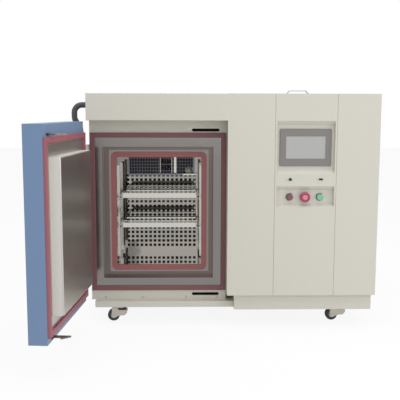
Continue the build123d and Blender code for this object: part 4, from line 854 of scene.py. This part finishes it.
class CHAMBER_OT_stage(ChamberOperator, bpy.types.Operator):
    """Set the floor, the lights, the background and the camera"""

    bl_idname = "chamber.stage"
    bl_label = "Stage"

    def execute(self, context):
        scene = bpy.context.scene
        self.floor()
        self.background(scene)
        for name, (place, target, size, power) in SOFTBOXES.items():
            self.lamp(name, place, target, size, power)
        self.camera(scene)
        scene.view_settings.view_transform = "Standard"
        return {"FINISHED"}

    def floor(self):
        """A wide pale floor that keeps the chamber's shadow."""
        work = bmesh.new()
        bmesh.ops.create_grid(work, x_segments=1, y_segments=1, size=FLOOR_HALF_WIDTH)
        mesh = bpy.data.meshes.new("studio_floor")
        work.to_mesh(mesh)
        work.free()
        plane = bpy.data.objects.new("studio_floor", mesh)
        bpy.context.scene.collection.objects.link(plane)
        material = bpy.data.materials.new("matt_white_vinyl")
        material.use_nodes = True
        tree = material.node_tree
        tree.nodes.clear()
        matt = add_node(tree, "ShaderNodeBsdfDiffuse", {"Color": linear("#F4F4F4")})
        glow = add_node(tree, "ShaderNodeEmission", {"Color": (1, 1, 1, 1), "Strength": 1.0})
        seen = add_node(
            tree,
            "ShaderNodeMath",
            {0: self.looking(tree), 1: FLOOR_GLOW_SHARE},
            operation="MULTIPLY",
        )
        mixed = add_node(
            tree,
            "ShaderNodeMixShader",
            {0: seen.outputs["Value"], 1: matt.outputs["BSDF"], 2: glow.outputs["Emission"]},
        )
        add_node(tree, "ShaderNodeOutputMaterial", {"Surface": mixed.outputs["Shader"]})
        mesh.materials.append(material)

    def looking(self, tree):
        """1 where the camera looks, straight or by a reflection or a view through glass."""
        light_path = add_node(tree, "ShaderNodeLightPath")
        kinds = ("Is Camera Ray", "Is Glossy Ray", "Is Transmission Ray")
        seen = light_path.outputs[kinds[0]]
        for kind in kinds[1:]:
            seen = add_node(
                tree,
                "ShaderNodeMath",
                {0: seen, 1: light_path.outputs[kind]},
                operation="MAXIMUM",
            ).outputs["Value"]
        return seen

    def background(self, scene):
        """White behind the chamber and in its reflections, and a softer light from all round."""
        world = bpy.data.worlds.new("studio_world")
        scene.world = world
        world.use_nodes = True
        tree = world.node_tree
        tree.nodes.clear()
        color = (*self.sizes.backdrop, 1.0)
        soft = add_node(tree, "ShaderNodeBackground", {"Color": color, "Strength": AMBIENT_STRENGTH})
        white = add_node(tree, "ShaderNodeBackground", {"Color": color, "Strength": SEEN_STRENGTH})
        mixed = add_node(
            tree,
            "ShaderNodeMixShader",
            {
                0: self.looking(tree),
                1: soft.outputs["Background"],
                2: white.outputs["Background"],
            },
        )
        add_node(tree, "ShaderNodeOutputWorld", {"Surface": mixed.outputs["Shader"]})

    def lamp(self, name, place, target, size, power):
        """A square softbox that faces a point."""
        data = bpy.data.lights.new(name, "AREA")
        data.size = size
        data.energy = power
        lamp = bpy.data.objects.new(name, data)
        bpy.context.scene.collection.objects.link(lamp)
        direction = Vector(target) - Vector(place)
        lamp.location = place
        lamp.rotation_euler = direction.to_track_quat("-Z", "Y").to_euler()

    def camera(self, scene):
        """The photograph's viewpoint, nearly square to the front of the case."""
        data = bpy.data.cameras.new("viewpoint")
        data.lens = self.sizes.lens
        data.sensor_width = 36.0
        camera = bpy.data.objects.new("viewpoint", data)
        scene.collection.objects.link(camera)
        turn = (
            Matrix.Rotation(math.radians(VIEW_HEADING), 4, "Z")
            @ Matrix.Rotation(math.radians(90 - VIEW_DIP), 4, "X")
            @ Matrix.Rotation(math.radians(VIEW_ROLL), 4, "Z")
        )
        place = Vector((LEFT, FRONT, 0)) + Vector(VIEWPOINT)
        camera.matrix_world = Matrix.Translation(place) @ turn
        scene.camera = camera


OPERATORS = (
    CHAMBER_OT_finishes,
    CHAMBER_OT_panel_screws,
    CHAMBER_OT_hinge_screws,
    CHAMBER_OT_conduit_ribs,
    CHAMBER_OT_button_marks,
    CHAMBER_OT_castor_fittings,
    CHAMBER_OT_port_sockets,
    CHAMBER_OT_door_trim,
    CHAMBER_OT_cavity_fittings,
    CHAMBER_OT_stage,
)


class CHAMBER_PT_sidebar(bpy.types.Panel):
    """Lists the chamber's pieces and its stage"""

    bl_idname = "CHAMBER_PT_sidebar"
    bl_label = "Environmental Test Chamber"
    bl_space_type = "VIEW_3D"
    bl_region_type = "UI"
    bl_category = "Chamber"

    def draw(self, context):
        sizes = context.scene.chamber_sizes
        for name in ChamberSizes.__annotations__:
            self.layout.prop(sizes, name)
        for operator in OPERATORS:
            self.layout.operator(operator.bl_idname)


CLASSES = (ChamberSizes, *OPERATORS, CHAMBER_PT_sidebar)


def register():
    """Adds the sizes, the operators and the panel."""
    for item in CLASSES:
        bpy.utils.register_class(item)
    bpy.types.Scene.chamber_sizes = bpy.props.PointerProperty(type=ChamberSizes)


def unregister():
    """Takes them away again."""
    del bpy.types.Scene.chamber_sizes
    for item in reversed(CLASSES):
        bpy.utils.unregister_class(item)


def main():
    """Makes every piece in order."""
    register()
    bpy.ops.chamber.finishes()
    bpy.ops.chamber.panel_screws()
    bpy.ops.chamber.hinge_screws()
    bpy.ops.chamber.conduit_ribs()
    bpy.ops.chamber.button_marks()
    bpy.ops.chamber.castor_fittings()
    bpy.ops.chamber.port_sockets()
    bpy.ops.chamber.door_trim()
    bpy.ops.chamber.cavity_fittings()
    bpy.ops.chamber.stage()


if __name__ == "__main__":
    main()
